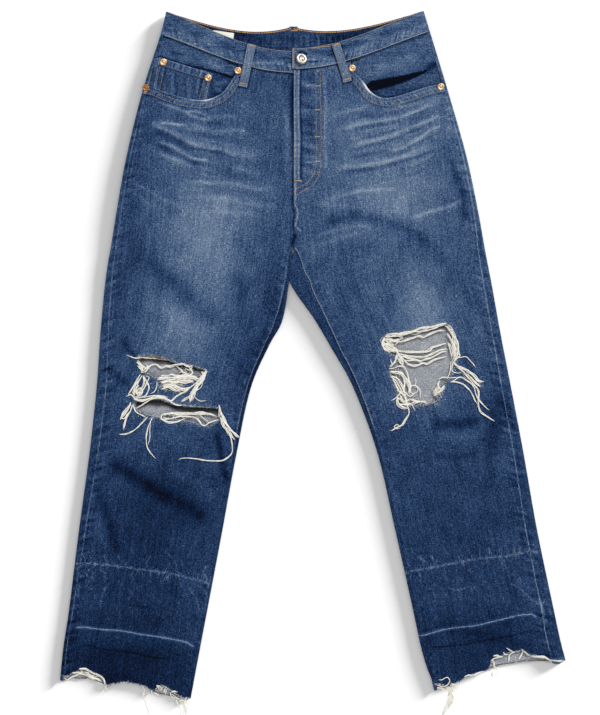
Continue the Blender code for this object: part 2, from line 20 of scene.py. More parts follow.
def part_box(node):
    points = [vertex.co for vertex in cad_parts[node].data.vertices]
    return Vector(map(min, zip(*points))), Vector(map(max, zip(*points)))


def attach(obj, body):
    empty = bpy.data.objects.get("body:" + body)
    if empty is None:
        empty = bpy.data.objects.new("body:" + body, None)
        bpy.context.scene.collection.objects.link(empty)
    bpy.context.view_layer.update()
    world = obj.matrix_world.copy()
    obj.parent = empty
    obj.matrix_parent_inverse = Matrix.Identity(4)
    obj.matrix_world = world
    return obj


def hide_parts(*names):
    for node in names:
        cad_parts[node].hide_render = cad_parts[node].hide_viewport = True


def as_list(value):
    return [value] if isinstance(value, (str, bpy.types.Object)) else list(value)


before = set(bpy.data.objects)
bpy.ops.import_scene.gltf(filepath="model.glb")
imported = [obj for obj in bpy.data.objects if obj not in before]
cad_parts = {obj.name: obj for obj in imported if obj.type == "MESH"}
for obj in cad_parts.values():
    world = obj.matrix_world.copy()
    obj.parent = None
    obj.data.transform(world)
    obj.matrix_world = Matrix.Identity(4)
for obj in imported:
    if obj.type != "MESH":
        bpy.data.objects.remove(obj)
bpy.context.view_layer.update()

MM = 0.001

# ================================================================ sizes, as in the frame
CLOTH = 1.2
GAP = 0.3
BAND_THICKNESS = 2.6
CENTRE_X = -27.0
FOLD = 3.2
FLY_WIDTH = 43.0
FLY_RAMP = 10.0
FLY_RISE = 1.5
FLY_FOOT_Y = 232.0
FACING_DROP = 3.4
FACING_SLOPE = (8.0, 26.0)
BAND_PROUD = 1.0
UNDERLAP_TOP = 7.2
OVERLAP_TOP = 10.1
YOKE_SIDE = 0.44
YOKE_CENTRE = 0.90
YOKE_BLEND_END = 2.0
LOOP_WIDTH = 12.0
LOOP_THICKNESS = 1.5
LOOP_CROWN = 1.1

FIELDS = "outer_x outer_y inner_x inner_y back bow arch outseam inseam"
Station = namedtuple("Station", FIELDS)
OUTLINE_FIELDS = 4
WAIST_TOP, WAIST_SEAM, CROTCH, FORK, HEM = -1, 0, 4, 5, 14      # stations, counted from the waist seam

RIGHT_LEG = (
    Station(-208, 486, -29, 430, 35, 1.0, 0, 4.5, 0),        # waist top
    Station(-216.5, 452, -27, 398, 29, 1.0, 0, 4.5, 0),      # waist seam
    Station(-242, 372, -27, 325, 18, 0.8, 0, 4.5, 0),        # pocket
    Station(-264.5, 280, -27, 246, 9, 0.5, 0, 5.0, 0),       # hip
    Station(-278.5, 202, -27, 195, 3, 0.2, 0, 6.0, 0),       # seat
    Station(-287, 150, -27, 153, 0, 0.0, 0, 7.0, 0),         # crotch
    Station(-290, 134, -28.5, 141, 0, 0.0, 0, 7.5, 4.5),     # fork
    Station(-295, 99, -33, 104, 0, 0.0, 0, 8.5, 4.5),        # top of the gap between the legs
    Station(-300, 48, -42.5, 48, 0, 0.0, 0, 10.0, 10.0),     # upper thigh
    Station(-303, 10, -62, 11, 0, 0.0, 0, 11.5, 6.0),        # thigh
    Station(-307, -48, -88, -50, 0, 0.0, 0, 12.8, 4.5),      # knee
    Station(-317, -140, -109, -148, 0, 0.0, 0, 11.5, 4.5),   # below the knee
    Station(-332, -250, -130, -262, 0, 0.0, 0, 8.5, 4.5),    # calf
    Station(-346, -362, -152, -378, 0, 0.0, 0, 4.8, 4.5),    # shin
    Station(-354, -415, -163, -436, 0, 0.0, 0, 4.5, 5.0),    # ankle
    Station(-359, -460, -173, -489, 0, 0.0, 0, 4.5, 5.5),    # hem
)
LEFT_LEG = (
    Station(158, 487, -29, 433, 32, 1.0, 0, 4.5, 0),
    Station(167.5, 456, -27, 403, 24, 1.0, 0, 4.5, 0),
    Station(193, 372, -27, 325, 18, 0.8, 0, 4.5, 0),
    Station(219, 280, -27, 246, 9, 0.5, 0, 4.5, 0),
    Station(235.5, 202, -27, 195, 3, 0.2, 0, 6.0, 0),
    Station(245, 150, -27, 153, 0, 0.0, 0, 9.5, 0),
    Station(248, 134, -28.5, 141, 0, 0.0, 0, 10.0, 8.0),
    Station(254.5, 101, -33, 104, 0, 0.0, 0, 11.0, 29.0),
    Station(264, 48, 3.5, 48, 0, 0.0, 0, 11.4, 16.0),
    Station(271.5, 8, 27, 8, 0, 0.0, 0, 11.6, 11.0),
    Station(282.5, -48, 58, -48, 0, 0.0, 0, 12.8, 7.5),
    Station(300, -140, 92, -140, 0, 0.0, 0, 13.5, 4.5),
    Station(319, -248, 117, -248, 0, 0.0, 0, 15.6, 4.5),
    Station(342, -358, 142, -360, 0, 0.0, 0, 17.0, 4.5),
    Station(351, -400, 155, -420, 0, 0.0, 4, 18.5, 4.5),
    Station(360, -436, 173, -481, 0, 0.0, 10, 19.5, 4.5),
)
LEGS = {"right": RIGHT_LEG, "left": LEFT_LEG}
INWARD = {"right": 1.0, "left": -1.0}
HANG = 1.14
BACK_HANG = 1.5

# y, top of the fronts there, underside of the backs there.
HEIGHTS = (
    (-500, 4.4, 0.0),
    (-420, 5.2, 0.0),
    (60, 5.4, 0.0),
    (150, 6.5, 0.0),
    (215, 7.8, 1.5),
    (500, 7.8, 1.5),
)
SEAT_TOP, SEAT_UNDER = HEIGHTS[-1][1:]
BAND_TOP = SEAT_TOP + BAND_PROUD

# The largest soft folds: middle, heading from +X, half length, half width, height.
FOLDS = (
    (-190, 262, 25, 70, 20, 0.5),
    (-120, 225, 8, 60, 18, -0.45),
    (-225, 190, 40, 70, 18, -0.4),
    (150, 262, 155, 70, 20, 0.5),
    (80, 225, 172, 60, 18, -0.45),
    (190, 185, 140, 70, 18, -0.4),
    (-170, 95, 75, 90, 26, 0.6),
    (140, 120, 100, 85, 24, 0.6),
    (-215, -170, 20, 75, 22, 0.6),
    (-235, -260, 95, 110, 26, -0.5),
    (180, -165, 150, 80, 22, 0.6),
    (240, -290, 80, 110, 26, -0.5),
)
FOLD_CLEARANCE = 14.0

POCKET_MOUTH = {
    "right": ((-104, 414), (-106, 402), (-116, 387), (-124, 375), (-134, 367), (-150, 361),
              (-167, 361), (-188, 365), (-207, 371), (-226, 379), (-250, 384)),
    "left": ((54, 414), (57, 402), (66, 393), (74, 384), (81, 374), (90, 367), (102, 363.5),
             (117, 365), (143, 373), (169, 381), (200, 386)),
}
FACING_INNER_X = {"right": -84.0, "left": 34.0}
COIN_POCKET = ((-217, 421), (-142, 397), (-157, 341), (-230, 358))

RIPS = {
    "right": (
        ((-248, -4), (-231, -2), (-209, -7), (-190, -14), (-170, -17), (-150, -24), (-162, -31),
         (-188, -35), (-221, -35), (-240, -24)),
        ((-254, -69), (-238, -65), (-217, -64), (-196, -72), (-168, -75), (-132, -77), (-132, -93),
         (-148, -103), (-168, -97), (-195, -92), (-228, -88), (-248, -81)),
    ),
    "left": (
        ((101, 25), (128, 29), (157, 37), (188, 43), (198, 35), (202, 11), (204, -10), (195, -33),
         (175, -60), (180, -67), (157, -72), (130, -75), (121, -71), (120, -54), (110, -25),
         (118, -4), (102, 7)),
    ),
}
HEM_EDGES = {
    "right": ((-375, -457), (-358, -456), (-350, -458), (-344, -455), (-337, -452), (-330, -449),
              (-324, -447), (-318, -449), (-309, -453), (-302, -456), (-297, -460), (-295, -467),
              (-292, -471), (-285, -469), (-270, -466), (-259, -467), (-245, -470), (-238, -472),
              (-231, -477), (-224, -478), (-221, -473), (-217, -470), (-209, -472), (-202, -477),
              (-195, -481), (-188, -487), (-181, -489), (-155, -486)),
    "left": ((155, -468), (168, -469), (181, -469), (190, -471), (202, -468), (210, -464), (217, -460),
             (224, -456), (238, -452), (249, -449), (253, -442), (255, -434), (266, -430), (275, -425),
             (283, -423), (292, -422), (299, -420), (306, -426), (316, -428), (330, -431), (337, -434),
             (349, -435), (375, -431)),
}
# The backs' raw hems, a little longer in places.
BACK_HEMS = {
    "right": ((-375, -461), (-361, -463), (-353, -465), (-344, -461), (-332, -463), (-319, -461),
              (-309, -464), (-296, -470), (-290, -468), (-280, -464), (-245, -467), (-236, -472),
              (-231, -478), (-219, -483), (-205, -486), (-191, -490), (-177, -490), (-155, -488)),
    "left": ((155, -474), (170, -474), (173, -479), (181, -476), (194, -474), (202, -467), (210, -462),
             (217, -459), (238, -452), (250, -449), (266, -443), (280, -441), (295, -438), (309, -437),
             (333, -437), (349, -441), (360, -435), (375, -434)),
}

BACK_POCKET = ((-70, 375), (70, 375), (66, 248), (0, 224), (-66, 248))
BACK_POCKET_OFFSET = 98.0
LABEL_CENTRE = (-128.0, 445.0)
LABEL_SIZE = (30.0, 26.0)
LABEL_TURN = -8.0
LABEL_THICKNESS = 0.8
BUTTON_PLACE = (-16.3, 417.5)

FRONT_LOOPS = {
    "belt_loop_front_right": ((-86, 439), (-99, 379)),
    "belt_loop_front_left": ((33, 440), (50, 386)),
}
BACK_LOOPS = {
    "belt_loop_back_right": ((-133, 462), (-138, 404)),
    "belt_loop_back_left": ((79, 462), (84, 404)),
    "belt_loop_back_centre": ((-27, 466), (-27, 408)),
}
RIVETS = {
    "rivet_coin_side": (-211.6, 413.9),
    "rivet_coin_front": (-148.0, 391.5),
    "rivet_mouth_right_front": (-105.8, 401.9),
    "rivet_mouth_right_side": (-236.4, 377.7),
    "rivet_mouth_left_front": (56.4, 405.4),
    "rivet_mouth_left_side": (182.2, 379.1),
}

# ================================================================ how worn the cloth is
# Down each leg: wear at the side fold, along the middle and at the inner edge.
Fade = namedtuple("Fade", "y side middle inner")
LEG_FADES = {
    "right": (
        Fade(-490, 0.08, 0.0, 0.13),
        Fade(-425, 0.08, 0.01, 0.16),
        Fade(-405, 0.15, 0.13, 0.24),
        Fade(-330, 0.21, 0.15, 0.27),
        Fade(-200, 0.28, 0.20, 0.25),
        Fade(-110, 0.32, 0.35, 0.28),
        Fade(0, 0.38, 0.48, 0.30),
        Fade(150, 0.41, 0.56, 0.44),
        Fade(300, 0.36, 0.54, 0.46),
        Fade(450, 0.42, 0.50, 0.48),
    ),
    "left": (
        Fade(-490, 0.26, 0.14, 0.18),
        Fade(-410, 0.27, 0.14, 0.18),
        Fade(-350, 0.31, 0.22, 0.22),
        Fade(-250, 0.31, 0.25, 0.28),
        Fade(-110, 0.34, 0.34, 0.33),
        Fade(0, 0.46, 0.50, 0.38),
        Fade(150, 0.48, 0.54, 0.46),
        Fade(300, 0.64, 0.67, 0.56),
        Fade(450, 0.60, 0.52, 0.52),
    ),
}

# Soft patches of more or less wear, some of them painted shade in hollows and folds: middle, heading from +X,
# half length, half width, amount.
Patch = namedtuple("Patch", "x y heading length width amount")
PATCHES = (
    # right leg
    Patch(-150, 160, 95, 80, 52, 0.33),      # top of the thigh
    Patch(-118, 215, 5, 70, 26, 0.14),
    Patch(-262, 120, 88, 130, 20, -0.10),    # painted shade in the hollow beside the outseam
    Patch(-196, 99, -42, 66, 14, -0.30),     # shadowed hollow above the knee
    Patch(-150, 56, -20, 26, 10, -0.10),
    Patch(-203, 60, -40, 40, 14, 0.10),
    Patch(-70, 385, 0, 36, 20, -0.10),       # painted shade below the waistband
    Patch(-200, -104, -7, 62, 12, -0.20),    # under the lower rip
    Patch(-140, 330, -10, 40, 16, -0.06),
    Patch(-80, 0, 80, 60, 14, -0.10),
    Patch(-103, 96, 88, 45, 9, -0.12),       # upright folds beside it, in painted shade and light
    Patch(-82, 110, 88, 60, 8, 0.07),
    Patch(-54, 105, 86, 60, 10, -0.12),
    Patch(-188, 30, 85, 42, 44, 0.30),       # knee
    Patch(-84, 110, 84, 90, 22, -0.10),
    Patch(-190, -90, 5, 62, 32, 0.30),
    Patch(-215, -205, 70, 60, 30, -0.08),
    # left leg
    Patch(112, 230, 10, 70, 30, 0.16),
    Patch(120, 205, 80, 60, 40, 0.14),
    Patch(100, 300, 15, 80, 40, 0.07),       # hip
    Patch(160, 140, -42, 58, 22, -0.16),     # shadowed hollow below the hip
    Patch(112, 206, -14, 50, 9, 0.10),
    Patch(45, 168, 12, 30, 10, 0.10),
    Patch(170, 283, 20, 40, 20, -0.08),      # below the left whiskers
    Patch(196, 240, 80, 40, 12, -0.12),
    Patch(80, 340, 30, 26, 14, -0.06),
    Patch(60, 390, 40, 26, 12, -0.10),
    Patch(-2, 330, 90, 70, 14, -0.10),       # fly
    Patch(3, 366, 90, 14, 8, 0.14),
    Patch(0, 274, 90, 20, 14, 0.10),
    Patch(14, 147, 0, 22, 12, 0.08),
    Patch(110, 62, 84, 26, 8, -0.08),
    Patch(160, 70, 92, 70, 30, 0.30),
    Patch(150, 20, 90, 60, 42, 0.13),        # knee
    Patch(52, 100, 84, 70, 18, -0.10),
    Patch(258, -95, 84, 60, 13, -0.18),
    Patch(150, -60, 0, 60, 28, 0.18),
    Patch(240, -400, -12, 60, 9, -0.14),
    Patch(202, -337, 10, 28, 12, 0.07),
)

# Creases: route, half width, height, and wear on its line, pale on ridges and painted shade in troughs.
Crease = namedtuple("Crease", "points width height wear")
CREASES = (
    # whiskers across the right hip
    Crease(((-225, 361), (-208, 354), (-194, 349), (-181, 344), (-167, 337), (-153, 333), (-138, 332)),
        2.2, 0.5, 0.26),
    Crease(((-184, 345), (-167, 344), (-155, 341), (-143, 335), (-129, 337), (-114, 337), (-100, 332)),
        3.0, 0.5, 0.20),
    Crease(((-174, 342), (-160, 338), (-146, 335)), 2.2, -0.4, -0.13),
    Crease(((-221, 329), (-202, 327), (-191, 325), (-175, 326)), 2.2, 0.6, 0.30),
    Crease(((-232, 332), (-219, 322), (-202, 315), (-188, 308), (-177, 301), (-165, 295), (-153, 291),
        (-138, 290), (-120, 285)), 4.1, 0.8, 0.22),
    Crease(((-180, 328), (-160, 322), (-146, 318), (-134, 315), (-117, 317), (-103, 317), (-86, 311)),
        3.3, 0.5, 0.18),
    Crease(((-231, 307), (-219, 314), (-209, 312), (-200, 307), (-188, 301), (-177, 294), (-163, 291),
        (-150, 290), (-134, 286), (-114, 280)), 3.8, -0.9, -0.20),
    Crease(((-219, 304), (-205, 297), (-194, 291), (-184, 284), (-173, 278), (-160, 275), (-143, 273)),
        2.7, 0.8, 0.30),
    Crease(((-222, 297), (-208, 290), (-195, 284), (-181, 278), (-170, 272), (-156, 268)), 3.4, -0.8, -0.17),
    Crease(((-222, 288), (-212, 283), (-200, 277), (-185, 273), (-171, 267)), 6.0, 0.5, 0.14),
    Crease(((-129, 287), (-110, 284), (-96, 280), (-77, 280)), 3.7, 0.5, 0.20),
    Crease(((-150, 263), (-129, 258), (-106, 252), (-84, 249)), 5.0, -0.5, -0.12),
    Crease(((-117, 266), (-103, 261), (-89, 258), (-70, 254)), 4.1, 0.5, 0.16),
    Crease(((-176, 250), (-142, 243), (-109, 240), (-89, 235), (-72, 233), (-50, 235)), 3.2, 0.6, 0.17),
    Crease(((-153, 231), (-117, 230), (-72, 226)), 4.0, -0.4, -0.08),
    Crease(((-158, 228), (-132, 221), (-113, 219), (-96, 214), (-82, 213), (-70, 210), (-46, 210)),
           3.0, 0.5, 0.15),
    Crease(((-140, 203), (-116, 200), (-102, 199), (-89, 197), (-68, 192)), 3.0, 0.4, 0.13),
    Crease(((-40, 361), (-39, 339), (-35, 322), (-36, 290), (-35, 264)), 3.0, 0.3, 0.16),
    Crease(((-188, 303), (-150, 297), (-110, 290), (-60, 283)), 5.6, 0.5, 0.13),
    Crease(((-242, 298), (-215, 284), (-190, 272), (-165, 264)), 4.4, 0.4, 0.13),
    Crease(((-236, 330), (-195, 323), (-150, 316)), 4.4, 0.4, 0.12),
    Crease(((-262, 247), (-236, 233), (-206, 216), (-180, 208)), 2.6, 0.3, 0.15),
    Crease(((-258, 232), (-232, 214), (-205, 202)), 2.6, 0.3, 0.10),
    # whiskers across the left hip
    Crease(((22, 334), (46, 344), (67, 348), (84, 349)), 3.7, 0.5, 0.18),
    Crease(((28, 318), (53, 322), (75, 327), (96, 330), (114, 334), (131, 338), (146, 344), (160, 351),
        (184, 361)), 2.7, 0.7, 0.26),
    Crease(((65, 338), (96, 337), (117, 341), (141, 351)), 2.6, -0.4, -0.11),
    Crease(((53, 314), (70, 320), (96, 324), (121, 328), (141, 332), (167, 342)), 2.7, -0.5, -0.13),
    Crease(((59, 314), (82, 317), (103, 322), (124, 327), (146, 334)), 2.4, 0.4, 0.16),
    Crease(((49, 294), (70, 300), (84, 303), (99, 307), (113, 311), (127, 317), (141, 322), (160, 329),
        (188, 341)), 3.1, 0.9, 0.28),
    Crease(((56, 288), (76, 294), (96, 300), (117, 305), (136, 314), (155, 322)), 2.7, -0.6, -0.13),
    Crease(((99, 288), (117, 290), (127, 293), (138, 298), (153, 307), (167, 317), (185, 324)), 3.2,
        0.6, 0.22),
    Crease(((56, 280), (82, 284), (107, 284), (130, 287), (147, 295)), 3.2, -0.5, -0.10),
    Crease(((28, 261), (53, 266), (67, 268), (84, 270), (103, 273), (117, 277), (129, 280), (141, 285),
        (155, 291), (178, 297)), 3.3, 0.8, 0.26),
    Crease(((33, 256), (60, 260), (82, 261), (103, 266), (124, 271), (146, 278)), 3.0, -0.6, -0.17),
    Crease(((60, 306), (90, 310), (125, 319), (165, 336)), 2.8, -0.5, -0.14),
    Crease(((90, 345), (125, 350), (160, 358), (190, 366)), 3.2, 0.4, 0.12),
    Crease(((40, 326), (80, 332), (120, 342)), 2.6, 0.4, 0.12),
    Crease(((121, 267), (138, 273), (153, 275), (173, 284)), 3.0, 0.4, 0.12),
    Crease(((10, 216), (39, 224), (60, 229), (75, 231), (96, 233), (124, 235)), 3.0, 0.6, 0.18),
    Crease(((-6, 212), (25, 212), (46, 209), (70, 209)), 3.7, 0.3, 0.12),
    Crease(((131, 190), (153, 196), (167, 202), (188, 207), (207, 214), (219, 223)), 3.3, 0.5, 0.20),
    Crease(((2, 184), (33, 190), (60, 194), (85, 192), (110, 185), (135, 176), (155, 164), (172, 150)),
           7.5, -0.9, -0.24),
    Crease(((2, 166), (24, 173), (45, 179), (66, 182), (88, 180)), 3.0, 0.4, 0.16),
    Crease(((6, 153), (30, 161), (52, 168), (74, 171)), 3.0, 0.4, 0.14),
    Crease(((198, 261), (208, 244), (214, 222), (217, 183)), 6.0, -0.6, -0.22),
    Crease(((181, 285), (195, 273), (204, 258)), 3.6, -0.4, -0.11),
    # folds below and beside the knees
    Crease(((-302, -156), (-273, -162), (-252, -175), (-231, -189), (-209, -203), (-188, -212), (-167,
        -224), (-148, -247)), 10.0, -1.3, -0.27),
    Crease(((-137, -105), (-133, -126), (-129, -151), (-120, -185)), 4.0, -0.6, -0.22),
    Crease(((-298, -14), (-280, -30), (-262, -46)), 5.0, -0.5, -0.15),
    Crease(((-305, -190), (-297, -215), (-288, -240), (-281, -268), (-276, -292)), 7.5, -0.8, -0.20),
    Crease(((-309, -225), (-303, -250), (-296, -276)), 8.0, 0.6, 0.12),
    Crease(((-272, 24), (-264, 10), (-256, 0), (-245, -9)), 3.6, -0.6, -0.20),
    Crease(((-217, -165), (-181, -176), (-153, -193), (-134, -214)), 9.0, 0.6, 0.10),
    Crease(((167, -99), (195, -99), (217, -98), (244, -94)), 8.0, -0.9, -0.28),
    Crease(((170, -118), (195, -119), (218, -118), (241, -116)), 9.0, 0.6, 0.14),
    Crease(((212, 3), (218, -11), (226, -26), (238, -40)), 4.0, -0.5, -0.18),
    Crease(((266, -54), (272, -72), (278, -101)), 6.0, -0.4, -0.14),
    Crease(((170, -143), (202, -148), (238, -139)), 4.0, -0.4, -0.10),
)

# The two let-down hem lines on each leg, upper and lower.
LET_DOWN = {
    "right": (
        ((-342, -298), (-309, -298), (-273, -302), (-231, -308), (-202, -312), (-181, -317), (-160, -322),
         (-144, -328)),
        ((-336, -389), (-323, -388), (-302, -391), (-273, -393), (-245, -398), (-217, -402), (-195, -406),
         (-181, -409), (-173, -413), (-168, -417)),
    ),
    "left": (
        ((129, -312), (146, -307), (167, -304), (188, -300), (202, -297), (224, -293), (245, -290),
         (266, -288), (288, -285), (309, -280), (324, -283)),
        ((150, -400), (160, -399), (181, -393), (202, -389), (231, -386), (252, -381), (273, -376),
         (295, -371), (312, -370), (317, -373), (320, -373)),
    ),
}

# Thin lines, worn pale or darkened with painted shade: route, half width, wear, height, how broken up.
Mark = namedtuple("Mark", "points width wear height broken")
MARKS = (
    *(Mark(LET_DOWN[side][0], 1.8, 0.34, 0.3, 0.6) for side in LEGS),
    *(Mark(LET_DOWN[side][1], 1.7, 0.60, 0.3, 0.3) for side in LEGS),
    Mark(((-164, -409), (-155, -409), (-148, -408)), 1.2, 0.60, 0.2, 0.25),
    Mark(((-327, -413), (-309, -416), (-295, -420), (-273, -422), (-252, -425), (-234, -430), (-202,
        -433)), 1.4, -0.17, -0.2, 0.3),
    Mark(((333, -362), (336, -365), (339, -368), (344, -366)), 1.2, 0.60, 0.2, 0.25),
    Mark(((167, -417), (195, -415), (231, -410), (252, -406), (273, -402), (295, -397), (316, -392)),
        1.4, -0.20, -0.2, 0.3),
    *(Mark(route, 1.1, 0.30, 0.3, 0.35) for route in (
        ((-178, -331), (-169, -341), (-164, -350), (-161, -365)),
        ((-288, -325), (-298, -340), (-302, -361)),
        ((-207, -282), (-196, -294), (-191, -305)),
        ((-170, -272), (-175, -282), (-178, -291)),
        ((-327, -305), (-318, -319), (-322, -334)),
        ((-262, -330), (-258, -342), (-264, -352)),
        ((-228, -286), (-236, -296), (-234, -304)),
        ((-150, -300), (-155, -312), (-150, -322)),
        ((280, -325), (295, -334), (313, -350), (320, -356)),
        ((331, -332), (340, -338), (345, -346)),
        ((321, -346), (327, -365), (331, -388)),
        ((151, -285), (162, -296), (169, -308)),
        ((249, -273), (256, -288)),
        ((264, -285), (273, -296), (270, -306)),
        ((212, -284), (220, -292)),
        ((190, -330), (204, -336), (224, -330)),
    )),
    Mark(((321, -338), (324, -350), (328, -366), (331, -385)), 1.3, 0.42, 0.3, 0.5),
    Mark(((315, -350), (320, -355), (325, -357)), 1.2, 0.46, 0.3, 0.2),
    Mark(((332, -348), (328, -353), (325, -358), (326, -368)), 1.2, 0.46, 0.3, 0.2),
    Mark(((-338, -318), (-331, -326), (-333, -342), (-328, -356)), 1.2, 0.30, 0.3, 0.4),
    Mark(((-262, -357), (-240, -360), (-224, -365)), 2.0, -0.14, -0.3, 0.2),
    # pale cores of the whiskers
    *(Mark(route, 1.2, wear, 0.2, 0.45) for wear, route in (
        (0.30, ((-182, 343), (-169, 344), (-159, 342), (-149, 336), (-141, 333))),
        (0.30, ((-180, 341), (-172, 336), (-159, 333), (-143, 331))),
        (0.32, ((-218, 327), (-201, 327), (-182, 325))),
        (0.18, ((-222, 357), (-201, 351), (-182, 343))),
        (0.16, ((-161, 323), (-144, 318), (-128, 316), (-107, 318), (-86, 311))),
        (0.18, ((-226, 323), (-205, 316), (-190, 307), (-174, 299), (-153, 292), (-136, 289))),
        (0.20, ((-224, 303), (-207, 297), (-190, 291), (-178, 282), (-165, 277), (-149, 276))),
        (0.14, ((-217, 283), (-203, 278), (-186, 274))),
        (0.16, ((-149, 291), (-128, 289), (-107, 280), (-86, 280))),
        (0.14, ((-111, 266), (-94, 259), (-74, 255))),
        (0.14, ((-178, 243), (-149, 241), (-115, 243), (-86, 234), (-69, 234))),
        (0.18, ((42, 317), (63, 323), (84, 328), (104, 332), (127, 336), (148, 344), (173, 353), (190, 358))),
        (0.13, ((52, 305), (79, 309), (100, 316), (119, 321), (136, 326), (157, 332))),
        (0.20, ((80, 299), (100, 305), (123, 311), (144, 319), (161, 328), (182, 339))),
        (0.20, ((123, 290), (136, 296), (148, 303), (157, 310), (165, 317), (182, 324))),
        (0.18, ((52, 264), (73, 265), (94, 268), (115, 274), (136, 280), (157, 287), (177, 295))),
        (0.14, ((86, 339), (111, 346), (136, 352), (157, 357), (177, 360))),
        (0.16, ((127, 264), (144, 268), (161, 273))),
        (0.14, ((38, 222), (61, 229), (86, 233))),
        (0.16, ((164, 312), (160, 306), (161, 300))),
        (0.22, ((150, 197), (170, 203), (190, 208), (208, 215))),
    )),
    # centre seam and crotch
    Mark(((-26, 244), (-25, 226), (-26, 214), (-23, 207), (-21, 199), (-23, 190), (-26, 179)), 1.6,
        0.45, 0.3, 0.3),
    Mark(((-29, 226), (-28, 210), (-26, 202), (-26, 190), (-29, 176)), 1.6, -0.40, -0.4, 0.3),
    Mark(((-23, 182), (-21, 179), (-15, 173)), 1.3, 0.60, 0.2, 0.0),
    Mark(((-23, 172), (-27, 162), (-29, 150)), 2.8, -0.48, -0.5, 0.0),
    # fly: edge of its facing below, and the small creases beside the lip
    Mark(((16, 395), (18, 368), (18, 339), (17, 311), (19, 283), (18, 261)), 2.2, 0.32, 0.3, 0.3),
    Mark(((-13, 380), (-4, 381), (8, 381)), 1.4, 0.34, 0.3, 0.3),
    Mark(((-13, 361), (-6, 364), (1, 364)), 1.4, 0.30, 0.3, 0.3),
    Mark(((-13, 344), (-5, 346), (9, 346)), 1.4, 0.30, 0.3, 0.3),
    Mark(((-13, 327), (-5, 328), (6, 327)), 1.4, 0.24, 0.3, 0.3),
    Mark(((-12, 307), (-2, 308), (9, 308)), 1.4, 0.34, 0.3, 0.3),
    Mark(((-13, 294), (-5, 293), (8, 293)), 1.8, 0.24, 0.3, 0.3),
    Mark(((-15, 281), (-6, 280), (5, 280)), 1.4, 0.34, 0.3, 0.3),
    Mark(((-12, 271), (-2, 272), (9, 273)), 1.4, 0.34, 0.3, 0.3),
    Mark(((-15, 264), (-8, 264), (1, 260)), 2.2, 0.24, 0.3, 0.3),
    Mark(((-11, 236), (-8, 229)), 3.0, 0.26, 0.3, 0.3),
)
